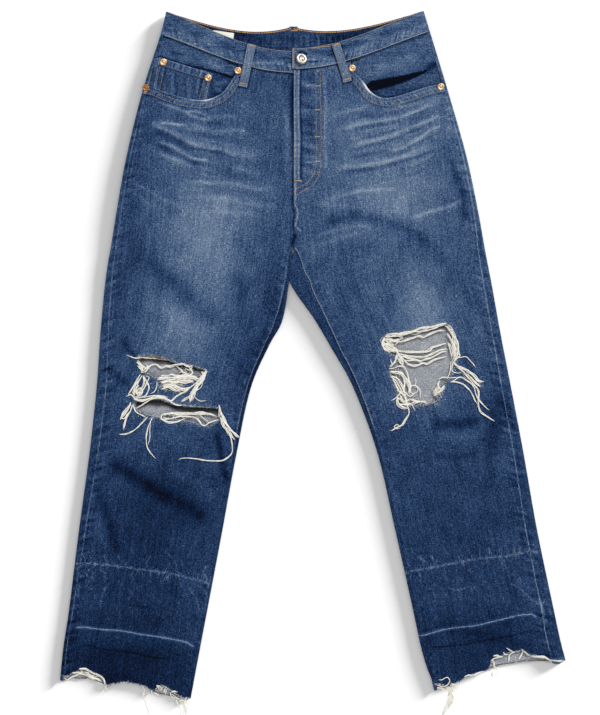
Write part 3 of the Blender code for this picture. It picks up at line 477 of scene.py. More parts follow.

# Torn threads: how many yarns run together, how wide they spread, their route.
Strand = namedtuple("Strand", "yarns spread points yarn", defaults=("white",))
RIP_STRANDS = {
    "right": (
        Strand(2, 1.0, ((-265, -1), (-258, -4), (-251, -6), (-242, -5), (-231, -6), (-219, -7))),
        Strand(1, 0.5, ((-251, -7), (-238, -5), (-228, -4), (-219, -7), (-202, -9)), "tan"),
        Strand(3, 2.6, ((-251, -11), (-242, -17), (-235, -21), (-231, -17), (-222, -15), (-215,
            -19), (-208, -17), (-202, -18), (-194, -16), (-185, -14), (-177, -16))),
        Strand(2, 1.4, ((-249, -16), (-241, -23), (-234, -18), (-226, -16))),
        Strand(4, 3.0, ((-249, -9), (-245, -14), (-241, -23), (-244, -28))),
        Strand(2, 1.5, ((-238, -14), (-234, -18), (-236, -24), (-242, -27))),
        Strand(2, 1.4, ((-184, -14), (-177, -18), (-171, -17), (-174, -23), (-181, -20))),
        Strand(3, 1.8, ((-180, -14), (-174, -20), (-170, -27), (-174, -30), (-181, -27), (-188,
            -23))),
        Strand(2, 1.2, ((-194, -17), (-188, -21), (-184, -24), (-190, -27))),
        Strand(7, 5.5, ((-221, -36), (-209, -34), (-195, -34), (-181, -33), (-170, -33), (-161,
            -38))),
        Strand(3, 2.0, ((-217, -31), (-205, -30), (-200, -28), (-194, -31), (-180, -31), (-168,
            -31))),
        Strand(6, 5.0, ((-217, -41), (-205, -38), (-191, -40), (-174, -38), (-167, -41))),
        Strand(5, 4.2, ((-214, -45), (-202, -44), (-191, -48), (-182, -50), (-174, -47))),
        Strand(3, 2.5, ((-215, -50), (-205, -47), (-195, -51), (-187, -53))),
        Strand(7, 6.0, ((-151, -23), (-155, -34), (-163, -45), (-170, -57), (-173, -68))),
        Strand(4, 3.0, ((-158, -24), (-154, -31), (-158, -40), (-165, -48), (-171, -60))),
        Strand(3, 1.8, ((-153, -26), (-160, -37), (-170, -45), (-180, -53), (-188, -57), (-195,
            -62), (-201, -67), (-208, -64), (-217, -62), (-228, -64), (-235, -68), (-244, -74), (-252,
            -78))),
        Strand(3, 2.0, ((-171, -58), (-180, -64), (-187, -68))),
        Strand(2, 1.2, ((-174, -61), (-174, -70))),
        Strand(1, 0.4, ((-168, -60), (-163, -65), (-158, -67), (-151, -66))),
        Strand(2, 1.2, ((-244, -28), (-249, -36), (-253, -44), (-259, -54), (-263, -60))),
        Strand(3, 2.0, ((-242, -30), (-248, -41), (-253, -51), (-253, -62))),
        Strand(2, 1.6, ((-241, -30), (-239, -41), (-244, -51), (-251, -61))),
        Strand(2, 1.4, ((-241, -30), (-235, -40), (-232, -48), (-236, -58), (-245, -62), (-255,
            -64))),
        Strand(2, 1.2, ((-239, -31), (-232, -33), (-235, -41), (-241, -51), (-246, -60))),
        Strand(2, 1.6, ((-246, -43), (-251, -51), (-246, -60), (-241, -54), (-245, -48), (-252,
            -57))),
        Strand(2, 1.6, ((-255, -51), (-249, -55), (-244, -53), (-248, -61), (-256, -62))),
        Strand(2, 1.2, ((-265, -61), (-258, -58), (-251, -64), (-241, -65), (-234, -64), (-226,
            -62))),
        Strand(3, 2.0, ((-255, -64), (-242, -67), (-234, -64), (-224, -61), (-212, -62), (-202,
            -67), (-194, -72), (-184, -73))),
        Strand(2, 1.2, ((-241, -62), (-231, -60), (-217, -59), (-205, -61))),
        Strand(3, 2.2, ((-258, -68), (-261, -77), (-266, -84), (-271, -89), (-273, -95))),
        Strand(3, 2.0, ((-255, -71), (-259, -82), (-265, -92), (-268, -104), (-268, -109))),
        Strand(2, 1.2, ((-256, -71), (-265, -78), (-271, -87), (-268, -92), (-261, -82))),
        Strand(2, 1.2, ((-255, -71), (-252, -80), (-248, -84), (-241, -87), (-236, -91))),
        Strand(1, 0.4, ((-221, -38), (-221, -45), (-224, -53), (-231, -57))),
        Strand(3, 1.2, ((-234, -89), (-241, -97), (-249, -105), (-258, -111), (-268, -114), (-276,
            -114))),
        Strand(2, 1.0, ((-226, -89), (-231, -98), (-235, -111), (-236, -122), (-235, -131), (-231,
            -139), (-225, -146), (-221, -150))),
        Strand(1, 0.6, ((-228, -89), (-231, -104), (-231, -119), (-234, -131))),
        Strand(5, 3.6, ((-215, -87), (-202, -84), (-188, -85), (-174, -85), (-160, -84), (-146,
            -85), (-136, -89))),
        Strand(2, 1.4, ((-215, -89), (-205, -92), (-188, -89), (-174, -89), (-164, -92), (-155,
            -102), (-146, -97), (-133, -93))),
        Strand(3, 2.0, ((-217, -91), (-208, -96), (-198, -97), (-188, -94), (-180, -91))),
        Strand(2, 1.2, ((-209, -84), (-214, -87), (-214, -92), (-205, -94))),
        Strand(2, 1.4, ((-160, -87), (-151, -94), (-147, -98))),
        Strand(3, 2.4, ((-133, -72), (-131, -82), (-133, -91))),
        Strand(4, 3.0, ((-130, -81), (-127, -89), (-123, -99), (-116, -108), (-109, -115), (-104,
            -119))),
        Strand(4, 3.2, ((-131, -89), (-126, -101), (-119, -111), (-113, -119), (-109, -122))),
        Strand(2, 1.6, ((-130, -85), (-123, -98), (-114, -109), (-104, -118))),
        Strand(3, 1.2, ((-120, -109), (-116, -119), (-114, -129), (-114, -139), (-119, -146), (-127,
            -151), (-138, -152), (-153, -151), (-163, -149), (-174, -148), (-184, -148), (-191, -150))),
    ),
    "left": (
        Strand(5, 4.2, ((102, 24), (110, 26), (121, 28), (129, 23))),
        Strand(5, 4.0, ((101, 20), (108, 21), (116, 19), (125, 21))),
        Strand(5, 3.6, ((101, 16), (108, 12), (116, 8), (123, 3))),
        Strand(3, 2.4, ((103, 19), (110, 15), (117, 13))),
        Strand(6, 5.0, ((119, 27), (138, 31), (153, 34), (170, 38), (181, 41), (191, 43))),
        Strand(3, 2.2, ((117, 11), (121, 17), (129, 18), (136, 21), (143, 23), (153, 26), (157, 23),
            (164, 27), (173, 31), (181, 34), (190, 33))),
        Strand(2, 1.4, ((129, 24), (123, 20), (116, 18), (104, 18))),
        Strand(6, 5.0, ((103, 24), (100, 17), (103, 9), (110, 6), (119, 3))),
        Strand(3, 2.4, ((102, 14), (111, 13), (117, 6), (123, -1), (130, -16))),
        Strand(4, 2.6, ((116, 7), (124, 4), (138, 3), (153, 3), (164, 4), (171, 10), (181, 13),
            (192, 16))),
        Strand(3, 2.2, ((121, 1), (136, -3), (150, -4), (161, -4), (171, 1), (182, 6), (194, 7))),
        Strand(3, 2.0, ((124, -3), (138, -6), (153, -9), (163, -7), (173, -3), (184, 3), (192, 4))),
        Strand(3, 2.0, ((123, 0), (131, -10), (141, -16), (150, -16), (157, -13), (163, -14), (171,
            -9), (181, -6), (191, -3))),
        Strand(2, 1.4, ((124, -9), (136, -9), (147, -9), (158, -13))),
        Strand(3, 2.0, ((119, 1), (123, -10), (130, -17))),
        Strand(7, 6.0, ((188, 41), (195, 36), (200, 26), (204, 14), (205, 3), (202, -7), (200,
            -13))),
        Strand(4, 3.0, ((191, 30), (197, 20), (201, 9), (200, -3))),
        Strand(4, 3.2, ((192, 16), (197, 6), (198, -6))),
        Strand(4, 3.0, ((200, -10), (204, -16), (214, -20), (224, -26), (231, -33), (236, -38),
            (244, -39))),
        Strand(3, 1.8, ((202, -17), (212, -23), (219, -31), (229, -43), (235, -51), (236, -62),
            (236, -74), (239, -82), (248, -89), (259, -96))),
        Strand(2, 1.4, ((194, -41), (202, -37), (208, -33), (214, -34), (222, -40), (229, -47),
            (232, -57), (236, -65), (244, -74), (252, -81))),
        Strand(2, 1.4, ((195, -40), (205, -40), (214, -43), (222, -50), (228, -60), (231, -67),
            (235, -72))),
        Strand(3, 2.0, ((218, -27), (225, -34), (232, -41), (239, -47))),
        Strand(1, 0.4, ((205, -6), (214, -4), (219, -4), (224, -10), (228, -14), (232, -20))),
        Strand(2, 1.2, ((208, 3), (209, -3), (202, -9))),
        Strand(2, 1.2, ((200, -10), (198, -23), (205, -27), (212, -26))),
        Strand(1, 0.5, ((197, -9), (195, -26), (190, -37))),
        Strand(2, 1.2, ((178, -37), (185, -33), (195, -34), (207, -33))),
        Strand(2, 1.2, ((181, -37), (178, -44), (182, -50), (187, -44))),
        Strand(2, 1.4, ((107, -21), (116, -20), (121, -17), (129, -18), (134, -26), (137, -37),
            (138, -48))),
        Strand(5, 4.0, ((109, -26), (119, -26), (127, -28), (134, -37), (138, -48), (137, -58))),
        Strand(2, 1.2, ((109, -31), (117, -37), (123, -45), (126, -53), (120, -61), (114, -65),
            (110, -67))),
        Strand(3, 2.2, ((110, -31), (120, -34), (126, -43), (129, -53), (123, -55))),
        Strand(3, 1.8, ((113, -34), (119, -45), (124, -54), (131, -60), (134, -71), (137, -80),
            (136, -87), (131, -95), (127, -101), (120, -104), (114, -108), (107, -110))),
        Strand(1, 0.5, ((124, -102), (119, -100), (116, -104), (120, -106), (126, -104))),
        Strand(1, 0.5, ((111, -7), (113, -14), (121, -10))),
        Strand(3, 2.0, ((119, -1), (117, -11), (109, -20))),
        Strand(2, 1.4, ((123, -6), (126, -14), (131, -18))),
        Strand(2, 1.6, ((126, -28), (131, -40), (130, -51), (133, -62))),
        Strand(1, 0.5, ((138, -50), (141, -45), (147, -45), (150, -50), (147, -55), (141, -56),
            (138, -50))),
        Strand(1, 0.4, ((146, -33), (147, -40), (144, -47))),
        Strand(1, 0.5, ((140, -48), (143, -44), (150, -47), (153, -54), (153, -65))),
        Strand(2, 1.4, ((131, -53), (137, -60), (143, -58), (147, -54))),
        Strand(4, 3.2, ((120, -61), (121, -70), (127, -75), (136, -77))),
        Strand(3, 2.4, ((123, -71), (136, -72), (147, -68), (158, -68), (164, -71))),
        Strand(3, 2.0, ((138, -64), (147, -67), (154, -67))),
        Strand(1, 0.5, ((141, -71), (144, -78), (146, -81))),
        Strand(3, 2.6, ((120, -62), (130, -67), (138, -64))),
        Strand(3, 2.6, ((124, -58), (130, -68), (140, -71))),
        Strand(4, 3.6, ((188, -45), (181, -53), (171, -60))),
        Strand(4, 3.6, ((181, -47), (175, -53), (170, -57))),
    ),
}
HEM_STRANDS = (
    # right hem
    Strand(3, 2.0, ((-334, -447), (-329, -447), (-322, -447), (-317, -450), (-312, -453), (-306, -456),
        (-300, -459), (-296, -463), (-295, -469), (-296, -474))),
    Strand(3, 1.8, ((-342, -453), (-334, -453), (-329, -452), (-326, -449))),
    Strand(2, 1.4, ((-353, -460), (-349, -463), (-343, -460), (-336, -457), (-330, -454), (-324,
        -452))),
    Strand(4, 2.6, ((-326, -452), (-319, -454), (-313, -459), (-306, -462), (-300, -466))),
    Strand(3, 2.4, ((-333, -454), (-324, -456), (-316, -459), (-307, -463))),
    Strand(2, 1.2, ((-315, -459), (-310, -456), (-306, -453))),
    Strand(2, 1.2, ((-312, -460), (-306, -457), (-303, -454))),
    Strand(2, 1.2, ((-322, -457), (-319, -453), (-316, -450))),
    Strand(2, 1.2, ((-302, -480), (-297, -479), (-293, -474), (-293, -469))),
    Strand(2, 1.4, ((-296, -466), (-295, -473), (-292, -477), (-296, -480))),
    Strand(1, 0.4, ((-306, -466), (-300, -469), (-297, -471))),
    Strand(2, 1.4, ((-222, -470), (-219, -474), (-218, -479))),
    Strand(2, 1.2, ((-221, -470), (-215, -474), (-217, -480))),
    Strand(2, 1.2, ((-212, -471), (-215, -479))),
    Strand(3, 1.8, ((-208, -473), (-211, -479), (-211, -483))),
    Strand(2, 1.2, ((-205, -474), (-209, -481), (-208, -486))),
    Strand(2, 1.2, ((-202, -481), (-197, -479), (-191, -480))),
    Strand(2, 1.2, ((-202, -481), (-201, -487), (-195, -490))),
    Strand(2, 1.4, ((-200, -483), (-194, -488), (-188, -491))),
    Strand(2, 1.2, ((-228, -477), (-229, -483), (-225, -484))),
    Strand(2, 1.2, ((-225, -480), (-221, -484), (-217, -486))),
    Strand(2, 0.9, ((-242, -471), (-241, -483), (-239, -491), (-235, -503), (-232, -514))),
    Strand(1, 0.4, ((-241, -471), (-239, -480), (-241, -491))),
    Strand(4, 2.6, ((-190, -491), (-185, -497), (-181, -504), (-180, -514))),
    Strand(2, 1.4, ((-194, -491), (-192, -498), (-188, -506), (-187, -514))),
    Strand(3, 1.8, ((-178, -487), (-182, -494), (-182, -503), (-184, -513))),
    Strand(1, 0.4, ((-177, -491), (-175, -500), (-177, -507), (-182, -514))),
    Strand(2, 1.4, ((-188, -491), (-181, -494), (-177, -500))),
    # left hem
    Strand(1, 0.4, ((178, -462), (184, -463), (188, -460), (192, -459), (195, -463), (194, -467), (190,
        -471), (184, -473), (177, -470))),
    Strand(3, 2.4, ((173, -476), (181, -474), (187, -476), (192, -474), (198, -474))),
    Strand(6, 4.0, ((195, -469), (200, -470), (202, -473), (198, -477), (197, -484), (198, -491), (194,
        -500), (188, -508), (184, -515))),
    Strand(4, 3.0, ((190, -473), (194, -479), (195, -487), (192, -496), (188, -504), (185, -514))),
    Strand(1, 0.4, ((202, -470), (207, -474), (202, -479), (200, -483))),
    Strand(3, 1.6, ((195, -477), (200, -487), (200, -494), (197, -500))),
    Strand(3, 1.2, ((215, -459), (221, -456), (228, -456), (235, -453), (244, -450))),
    Strand(2, 1.0, ((256, -452), (255, -457), (256, -460))),
    Strand(1, 0.5, ((263, -450), (263, -456), (262, -459))),
    Strand(3, 1.8, ((256, -429), (262, -428), (266, -430), (271, -429))),
    Strand(3, 1.6, ((253, -435), (256, -436), (258, -440), (258, -444), (261, -447), (263, -450))),
    Strand(2, 1.2, ((253, -435), (259, -432), (266, -430))),
    Strand(2, 1.0, ((275, -417), (279, -420), (283, -422), (286, -424))),
    Strand(2, 1.2, ((271, -423), (273, -427), (279, -427))),
    Strand(3, 1.6, ((288, -423), (283, -425), (280, -429), (279, -435), (278, -439))),
    Strand(3, 1.6, ((293, -435), (296, -429), (299, -423), (297, -420))),
    Strand(2, 1.4, ((299, -422), (303, -425), (309, -429))),
    Strand(4, 2.2, ((309, -429), (316, -430), (323, -430), (329, -430), (334, -433), (342, -436))),
    Strand(3, 1.8, ((336, -436), (342, -439), (349, -440), (356, -437), (360, -435))),
    Strand(3, 1.8, ((340, -435), (349, -436), (357, -436))),
)


# ================================================================ small helpers
def smooth(low, high, value):
    """0 below low, 1 above high, and an even ease between."""
    t = np.clip((value - low) / (high - low), 0.0, 1.0)
    return t * t * (3 - 2 * t)


def fade(low, high, value):
    """1 below low and 0 above high."""
    return 1 - smooth(low, high, value)


def bell(value, middle, width):
    """1 at the middle, and almost 0 two widths away."""
    return np.exp(-((value - middle) / width) ** 2)


def mix(a, b, t):
    """a where t is 0, b where it is 1."""
    return a + (b - a) * t


def waver(t, wavelength, seed):
    """An uneven wave between about -1 and 1: three sines that never fall in step."""
    t = np.asarray(t, float) * (math.tau / wavelength)
    parts = ((0.5, 1.0, 1.0), (0.32, 1.71, 2.3), (0.28, 0.53, 4.1))
    return sum(height * np.sin(pace * t + shift * seed) for height, pace, shift in parts)


def turned(along, across, heading):
    """x and y of a place along and across a heading, in degrees from +X."""
    c, s = math.cos(math.radians(heading)), math.sin(math.radians(heading))
    return along * c - across * s, along * s + across * c


def curve_between(p0, p1, p2, p3, t):
    """The smooth curve through four points, from the second to the third as t runs from 0 to 1."""
    bend = 2 * p0 - 5 * p1 + 4 * p2 - p3
    twist = 3 * (p1 - p2) + p3 - p0
    return p1 + 0.5 * t * (p2 - p0 + t * (bend + t * twist))


def rounded(points, step=4.0):
    """A smooth line through hand-set points, with a point about every step."""
    points = np.asarray(points, float)
    padded = np.vstack([2 * points[0] - points[1], points, 2 * points[-1] - points[-2]])
    line = [points[:1]]
    for p0, p1, p2, p3 in zip(padded, padded[1:], padded[2:], padded[3:]):
        count = max(int(math.ceil(np.linalg.norm(p2 - p1) / step)), 1)
        line.append(curve_between(p0, p1, p2, p3, np.linspace(0, 1, count + 1)[1:, None]))
    return np.vstack(line)


def straight(points, step):
    """The same corners, with more points along each run."""
    points = np.asarray(points, float)
    line = [points[:1]]
    for a, b in zip(points, points[1:]):
        count = max(int(math.ceil(np.linalg.norm(b - a) / step)), 1)
        line.append(a + (b - a) * np.linspace(0, 1, count + 1)[1:, None])
    return np.vstack(line)


def lengths_along(line):
    """How far along a line each of its points is."""
    return np.concatenate([[0.0], np.cumsum(np.linalg.norm(np.diff(line, axis=0), axis=1))])


def left_of(line):
    """Unit steps to the left of a line's run, at each of its points."""
    run = np.gradient(line, axis=0)
    run /= np.linalg.norm(run, axis=1, keepdims=True) + 1e-9
    return np.column_stack([-run[:, 1], run[:, 0]])


def parallel(line, distance):
    """The line, moved to its left by a distance."""
    line = np.asarray(line, float)
    return line + left_of(line) * distance


def wandering(line, reach, wavelength):
    """The line, drifting a little to both sides."""
    return line + left_of(line) * reach * waver(lengths_along(line), wavelength, 2.0)[:, None]


def at_level(line, z):
    """Plan points of a line, all at one height."""
    line = np.asarray(line, float)
    return np.column_stack([line[:, :2], np.full(len(line), z)])


FAR = 1e9


def trace(line, x, y):
    """Each place against a line: distance, signed to the left of its run, and how far along."""
    best = np.full(x.shape, FAR)
    off = np.zeros(x.shape)
    at = np.zeros(x.shape)
    travelled = 0.0
    for (ax, ay), (bx, by) in zip(line, line[1:]):
        rx, ry = bx - ax, by - ay
        length = math.hypot(rx, ry)
        t = np.clip(((x - ax) * rx + (y - ay) * ry) / length ** 2, 0, 1)
        dx, dy = x - ax - rx * t, y - ay - ry * t
        d = np.hypot(dx, dy)
        near = d < best
        best = np.where(near, d, best)
        off = np.where(near, np.where(rx * dy - ry * dx < 0, -d, d), off)
        at = np.where(near, travelled + t * length, at)
        travelled += length
    return off, at, travelled


def near_line(line, x, y, reach):
    low, high = np.min(line, axis=0) - reach, np.max(line, axis=0) + reach
    return (x > low[0]) & (x < high[0]) & (y > low[1]) & (y < high[1])


def inside(outline, x, y):
    """Which places lie inside a closed outline."""
    result = np.zeros(x.shape, bool)
    for (ax, ay), (bx, by) in zip(outline, np.roll(outline, -1, axis=0)):
        if ay == by:
            continue
        crosses = (ay > y) != (by > y)
        result ^= crosses & (x < ax + (y - ay) * (bx - ax) / (by - ay))
    return result


# ================================================================ the form of the jeans
def station(side, s):
    """The station at any place down the leg; its outline follows a smooth curve."""
    table = np.array(LEGS[side], float)
    place = np.clip(np.asarray(s, float) - WAIST_TOP, 0, len(table) - 1)
    i = np.minimum(place.astype(int), len(table) - 2)
    t = (place - i)[..., None]
    p0, p1, p2, p3 = (table[np.clip(i + k, 0, len(table) - 1)] for k in (-1, 0, 1, 2))
    curve = curve_between(p0, p1, p2, p3, t)
    values = np.where(np.arange(len(Station._fields)) < OUTLINE_FIELDS, curve, mix(p1, p2, t))
    return Station(*np.moveaxis(values, -1, 0))


def width_of(place):
    return np.abs(place.inner_x - place.outer_x) - GAP / 2


def spot(side, place, distance, back=0.0):
    """x and y at a distance in from the side fold, on the front's row or the back's (back=1)."""
    u = np.maximum(distance / width_of(place), 0.0)
    hang = np.sin(math.pi / 2 * u ** HANG)
    x = place.outer_x + INWARD[side] * distance
    y = mix(place.outer_y, place.inner_y, mix(u, hang, place.bow))
    y = y + place.back * back * u ** BACK_HANG
    y = y + place.arch * np.sin(math.pi * np.minimum(u, 1.0))
    return x, y


def level(y, column):
    """Top of the fronts (column 1) or underside of the backs (2) at y, eased between the heights."""
    y = np.asarray(y, float)
    result = np.full(y.shape, float(HEIGHTS[-1][column]))
    for lower, upper in reversed(list(zip(HEIGHTS, HEIGHTS[1:]))):
        eased = mix(lower[column], upper[column], smooth(lower[0], upper[0], y))
        result = np.where(y <= upper[0], eased, result)
    return result


def soft_sum(places, x, y):
    """Sum of soft oval bumps or patches."""
    total = np.zeros(x.shape)
    for middle_x, middle_y, heading, length, width, amount in places:
        along, across = turned(x - middle_x, y - middle_y, -heading)
        total += amount * np.exp(-(along / length) ** 2 - (across / width) ** 2)
    return total


NARROW = 7.0             # creases thinner than this carry more wear and painted shade than their tables say, and spread wider
CREASE_WEAR_AND_SHADE = 1.36       # are worn more than their tables say,
CREASE_WIDTH = 1.08      # and spread wider


def crease_sum(creases, x, y):
    """Height, and wear with painted shade, that creases add; each fades out towards both ends."""
    height = np.zeros(x.shape)
    wear = np.zeros(x.shape)
    for crease in creases:
        line = rounded(crease.points, 12.0)
        narrow = crease.width < NARROW
        width = crease.width * (CREASE_WIDTH if narrow else 1.0)
        near = near_line(line, x, y, 2.5 * width)
        if not near.any():
            continue
        off, at, total = trace(line, x[near], y[near])
        shape = bell(off, 0, width)
        shape = shape * smooth(0, total * 0.16, at) * smooth(0, total * 0.16, total - at)
        height[near] += crease.height * shape
        gain = CREASE_WEAR_AND_SHADE if narrow else 1.0
        wear[near] += gain * crease.wear * shape * (0.9 + 0.2 * waver(at, 29, crease.width))
    return height, wear


def mark_sum(marks, x, y):
    """Height of thin marks, and their pale wear and painted shade; a broken one comes and goes along its run.
    """
    height = np.zeros(x.shape)
    wear = np.zeros(x.shape)
    for n, mark in enumerate(marks):
        line = rounded(mark.points, 6.0)
        near = near_line(line, x, y, 3 * mark.width)
        if not near.any():
            continue
        off, at, total = trace(line, x[near], y[near])
        shape = bell(off, 0, mark.width) * smooth(0, 4, at) * smooth(0, 4, total - at)
        shape = shape * (1 - mark.broken * (0.5 + 0.5 * waver(at, 9, n)))
        height[near] += mark.height * shape
        wear[near] += mark.wear * shape
    return height, wear


def fold_lines(side):
    """The side fold and the inner edge, waist to hem, seen from above."""
    place = station(side, np.linspace(WAIST_TOP, HEM, 120))
    outer = np.column_stack(spot(side, place, 0.0))
    inner = np.column_stack(spot(side, place, width_of(place)))
    return outer, inner


FOLD_LINES = {side: fold_lines(side) for side in LEGS}


def across_leg(side, x, y):
    """0 at the side fold, 1 at the inner edge, and the leg's width there."""
    outer, inner = FOLD_LINES[side]
    outer_x = np.interp(y, outer[::-1, 1], outer[::-1, 0])
    inner_x = np.interp(y, inner[::-1, 1], inner[::-1, 0])
    width = np.abs(inner_x - outer_x)
    return (x - outer_x) * INWARD[side] / width, width


def relief(side, x, y):
    """Height that the folds and creases add to the cloth on top."""
    share, width = across_leg(side, x, y)
    edge = np.minimum(share, 1 - share) * width
    calm = smooth(FOLD, FOLD_CLEARANCE, edge)
    return (soft_sum(FOLDS, x, y) + crease_sum(CREASES, x, y)[0]) * calm


def fly_rise(side, x, y):
    """How far the left front is lifted where it laps over the right one at the fly."""
    if side == "right":
        return np.zeros(x.shape)
    beside = fade(CENTRE_X + FLY_WIDTH, CENTRE_X + FLY_WIDTH + FLY_RAMP, x)
    return FLY_RISE * beside * smooth(FLY_FOOT_Y - 30, FLY_FOOT_Y - 2, y)


def mouth_height(side, x, y):
    """Distance from a pocket's mouth, positive on the facing that shows."""
    off, _, _ = trace(POCKET_MOUTH[side], x, y)
    return -INWARD[side] * off


# Fine whiskers over each hip: middle x and y, how steeply they rise to the side, half height of the field.
WHISKER_FIELDS = {"right": (-60, 285, 0.0011, 62), "left": (20, 300, 0.0013, 58)}


def fine_whiskers(side, x, y):
    """Thin pale and dark lines that fan out from the fly across the hip."""
    middle, level_y, bend, half = WHISKER_FIELDS[side]
    outward = np.maximum(INWARD[side] * (middle - x), 0.0)
    v = y - bend * outward ** 2 + 2.5 * waver(x, 80, 3.0)
    field = np.exp(-((v - level_y + 22) / half) ** 4) * smooth(0, 40, outward) * fade(150, 185, outward)
    lines = waver(v, 10.5, 1.0) * (0.55 + 0.65 * waver(x + 9 * waver(v, 30, 2.0), 75, 2.0))
    return 0.15 * field * lines


def crinkles(side, x, y):
    """Pale scratches where the let-down hems were pressed and rubbed."""
    rows = LET_DOWN[side]
    lines = [np.interp(x, *np.array(row, float).T) - y for row in rows]
    upper = bell(lines[0], -6, 20)
    between = smooth(-6, 8, lines[0]) * fade(-14, -2, lines[1])
    lean = x + 4 * waver(y, 26, 1.0) + 3 * waver(y, 9, 2.0)
    scratch = smooth(0.30, 0.80, waver(lean, 9.5, 1.0) * (0.7 + 0.5 * waver(y + 0.8 * x, 21, 2.0)))
    folds = waver(y + 0.5 * x + 6 * waver(x, 40, 1.0), 24, 1.0) * waver(x, 55, 2.0)
    return (0.40 * upper + 0.16 * between) * scratch + 0.06 * between * folds


def base_wear_and_shade(side, x, y):
    """Wear and painted shade of the cloth on top, before seams and edges."""
    share, _ = across_leg(side, x, y)
    rows = np.array(LEG_FADES[side], float)
    at_side, at_middle, at_inner = (np.interp(y, rows[:, 0], rows[:, k]) for k in (1, 2, 3))
    outward = np.where(share < 0.5, at_side, at_inner)
    blend = smooth(0.0, 0.42, 0.5 - np.abs(np.clip(share, 0, 1) - 0.5))
    wear = mix(outward, at_middle, blend)
    streaks = 0.05 * waver(x - 0.15 * y * INWARD[side], 9, 1.0) * waver(y, 130, 2.0)
    wear = wear + streaks + soft_sum(PATCHES, x, y) + crease_sum(CREASES, x, y)[1]
    return wear + fine_whiskers(side, x, y) + crinkles(side, x, y)


# ================================================================ materials
ALBEDO_SHARE = 0.9     # the light returns a little more than all of a colour


def linear(r, g, b, share=ALBEDO_SHARE):
    """A colour given in 0-255 display steps, as the shader takes it."""
    steps = [c / 255 for c in (r, g, b)]
    light = [c / 12.92 if c <= 0.04045 else ((c + 0.055) / 1.055) ** 2.4 for c in steps]
    return (*(share * c for c in light), 1.0)


class Shader:
    """One material's node tree, with short ways to add and join nodes."""

    def __init__(self, name):
        self.material = bpy.data.materials.new(name)
        self.material.use_nodes = True
        self.tree = self.material.node_tree
        self.surface = self.tree.nodes["Principled BSDF"]

    def node(self, kind, values=None, **settings):
        made = self.tree.nodes.new(kind)
        for key, value in settings.items():
            setattr(made, key, value)
        for key, value in (values or {}).items():
            if hasattr(value, "is_output"):
                self.tree.links.new(value, made.inputs[key])
            else:
                made.inputs[key].default_value = value
        return made

    def attribute(self, name):
        return self.node("ShaderNodeAttribute", attribute_name=name)

    def math(self, operation, a, b=0.0, c=0.0):
        return self.node("ShaderNodeMath", {0: a, 1: b, 2: c}, operation=operation).outputs[0]

    def scaled(self, vector, factors):
        return self.node("ShaderNodeVectorMath", {0: vector, 1: factors}, operation="MULTIPLY").outputs[0]

    def noise(self, vector, size, detail=1.0):
        """Noise with features of about the given sizes along each axis of the vector."""
        values = {"Vector": self.scaled(vector, tuple(1 / v for v in size)), "Scale": 1.0, "Detail": detail}
        return self.node("ShaderNodeTexNoise", values).outputs["Fac"]

    def added(self, base, *parts):
        """base plus each (noise, amount), the noise taken about its middle."""
        total = base
        for noise, amount in parts:
            total = self.math("ADD", total, self.math("MULTIPLY", self.math("SUBTRACT", noise, 0.5), amount))
        return total

    def spread(self, value, low, high, to_low=0.0, to_high=1.0):
        """The value's range from low to high, stretched to another and held at its ends."""
        values = {"Value": value, "From Min": low, "From Max": high, "To Min": to_low, "To Max": to_high}
        return self.node("ShaderNodeMapRange", values).outputs[0]

    def ramp(self, fac, low, high, stops):
        """Colour stops at places between low and high."""
        ramp = self.node("ShaderNodeValToRGB", {"Fac": self.spread(fac, low, high)})
        elements = ramp.color_ramp.elements
        while len(elements) < len(stops):
            elements.new(0.5)
        for element, (place, colour) in zip(elements, stops):
            element.position = (place - low) / (high - low)
            element.color = colour
        return ramp.outputs["Color"]

    def shaded(self, colour, shade):
        """The colour, darkened where shade is near 1."""
        left = self.math("SUBTRACT", 1.0, shade)
        return self.node("ShaderNodeVectorMath", {0: colour, "Scale": left}, operation="SCALE").outputs[0]

    def bump(self, height, distance, strength=1.0):
        values = {"Height": height, "Distance": distance, "Strength": strength}
        return self.node("ShaderNodeBump", values).outputs["Normal"]

    def finish(self, colour, roughness, normal=None, **constants):
        inputs = self.surface.inputs
        self.tree.links.new(colour, inputs["Base Color"])
        if hasattr(roughness, "is_output"):
            self.tree.links.new(roughness, inputs["Roughness"])
        else:
            inputs["Roughness"].default_value = roughness
        if normal:
            self.tree.links.new(normal, inputs["Normal"])
        for key, value in constants.items():
            inputs[key.replace("_", " ")].default_value = value
        return self.material


# Indigo as it wears off, with painted black shadow below 0: wear, display colour.
INDIGO = (
    (-0.2, (3, 5, 12)),
    (0.0, (4, 17, 46)),
    (0.15, (16, 41, 76)),
    (0.3, (34, 57, 93)),
    (0.5, (56, 82, 122)),
    (0.7, (77, 101, 134)),
    (0.85, (96, 117, 144)),
    (1.0, (117, 136, 161)),
    (1.3, (158, 170, 186)),
    (1.6, (232, 234, 232)),
)


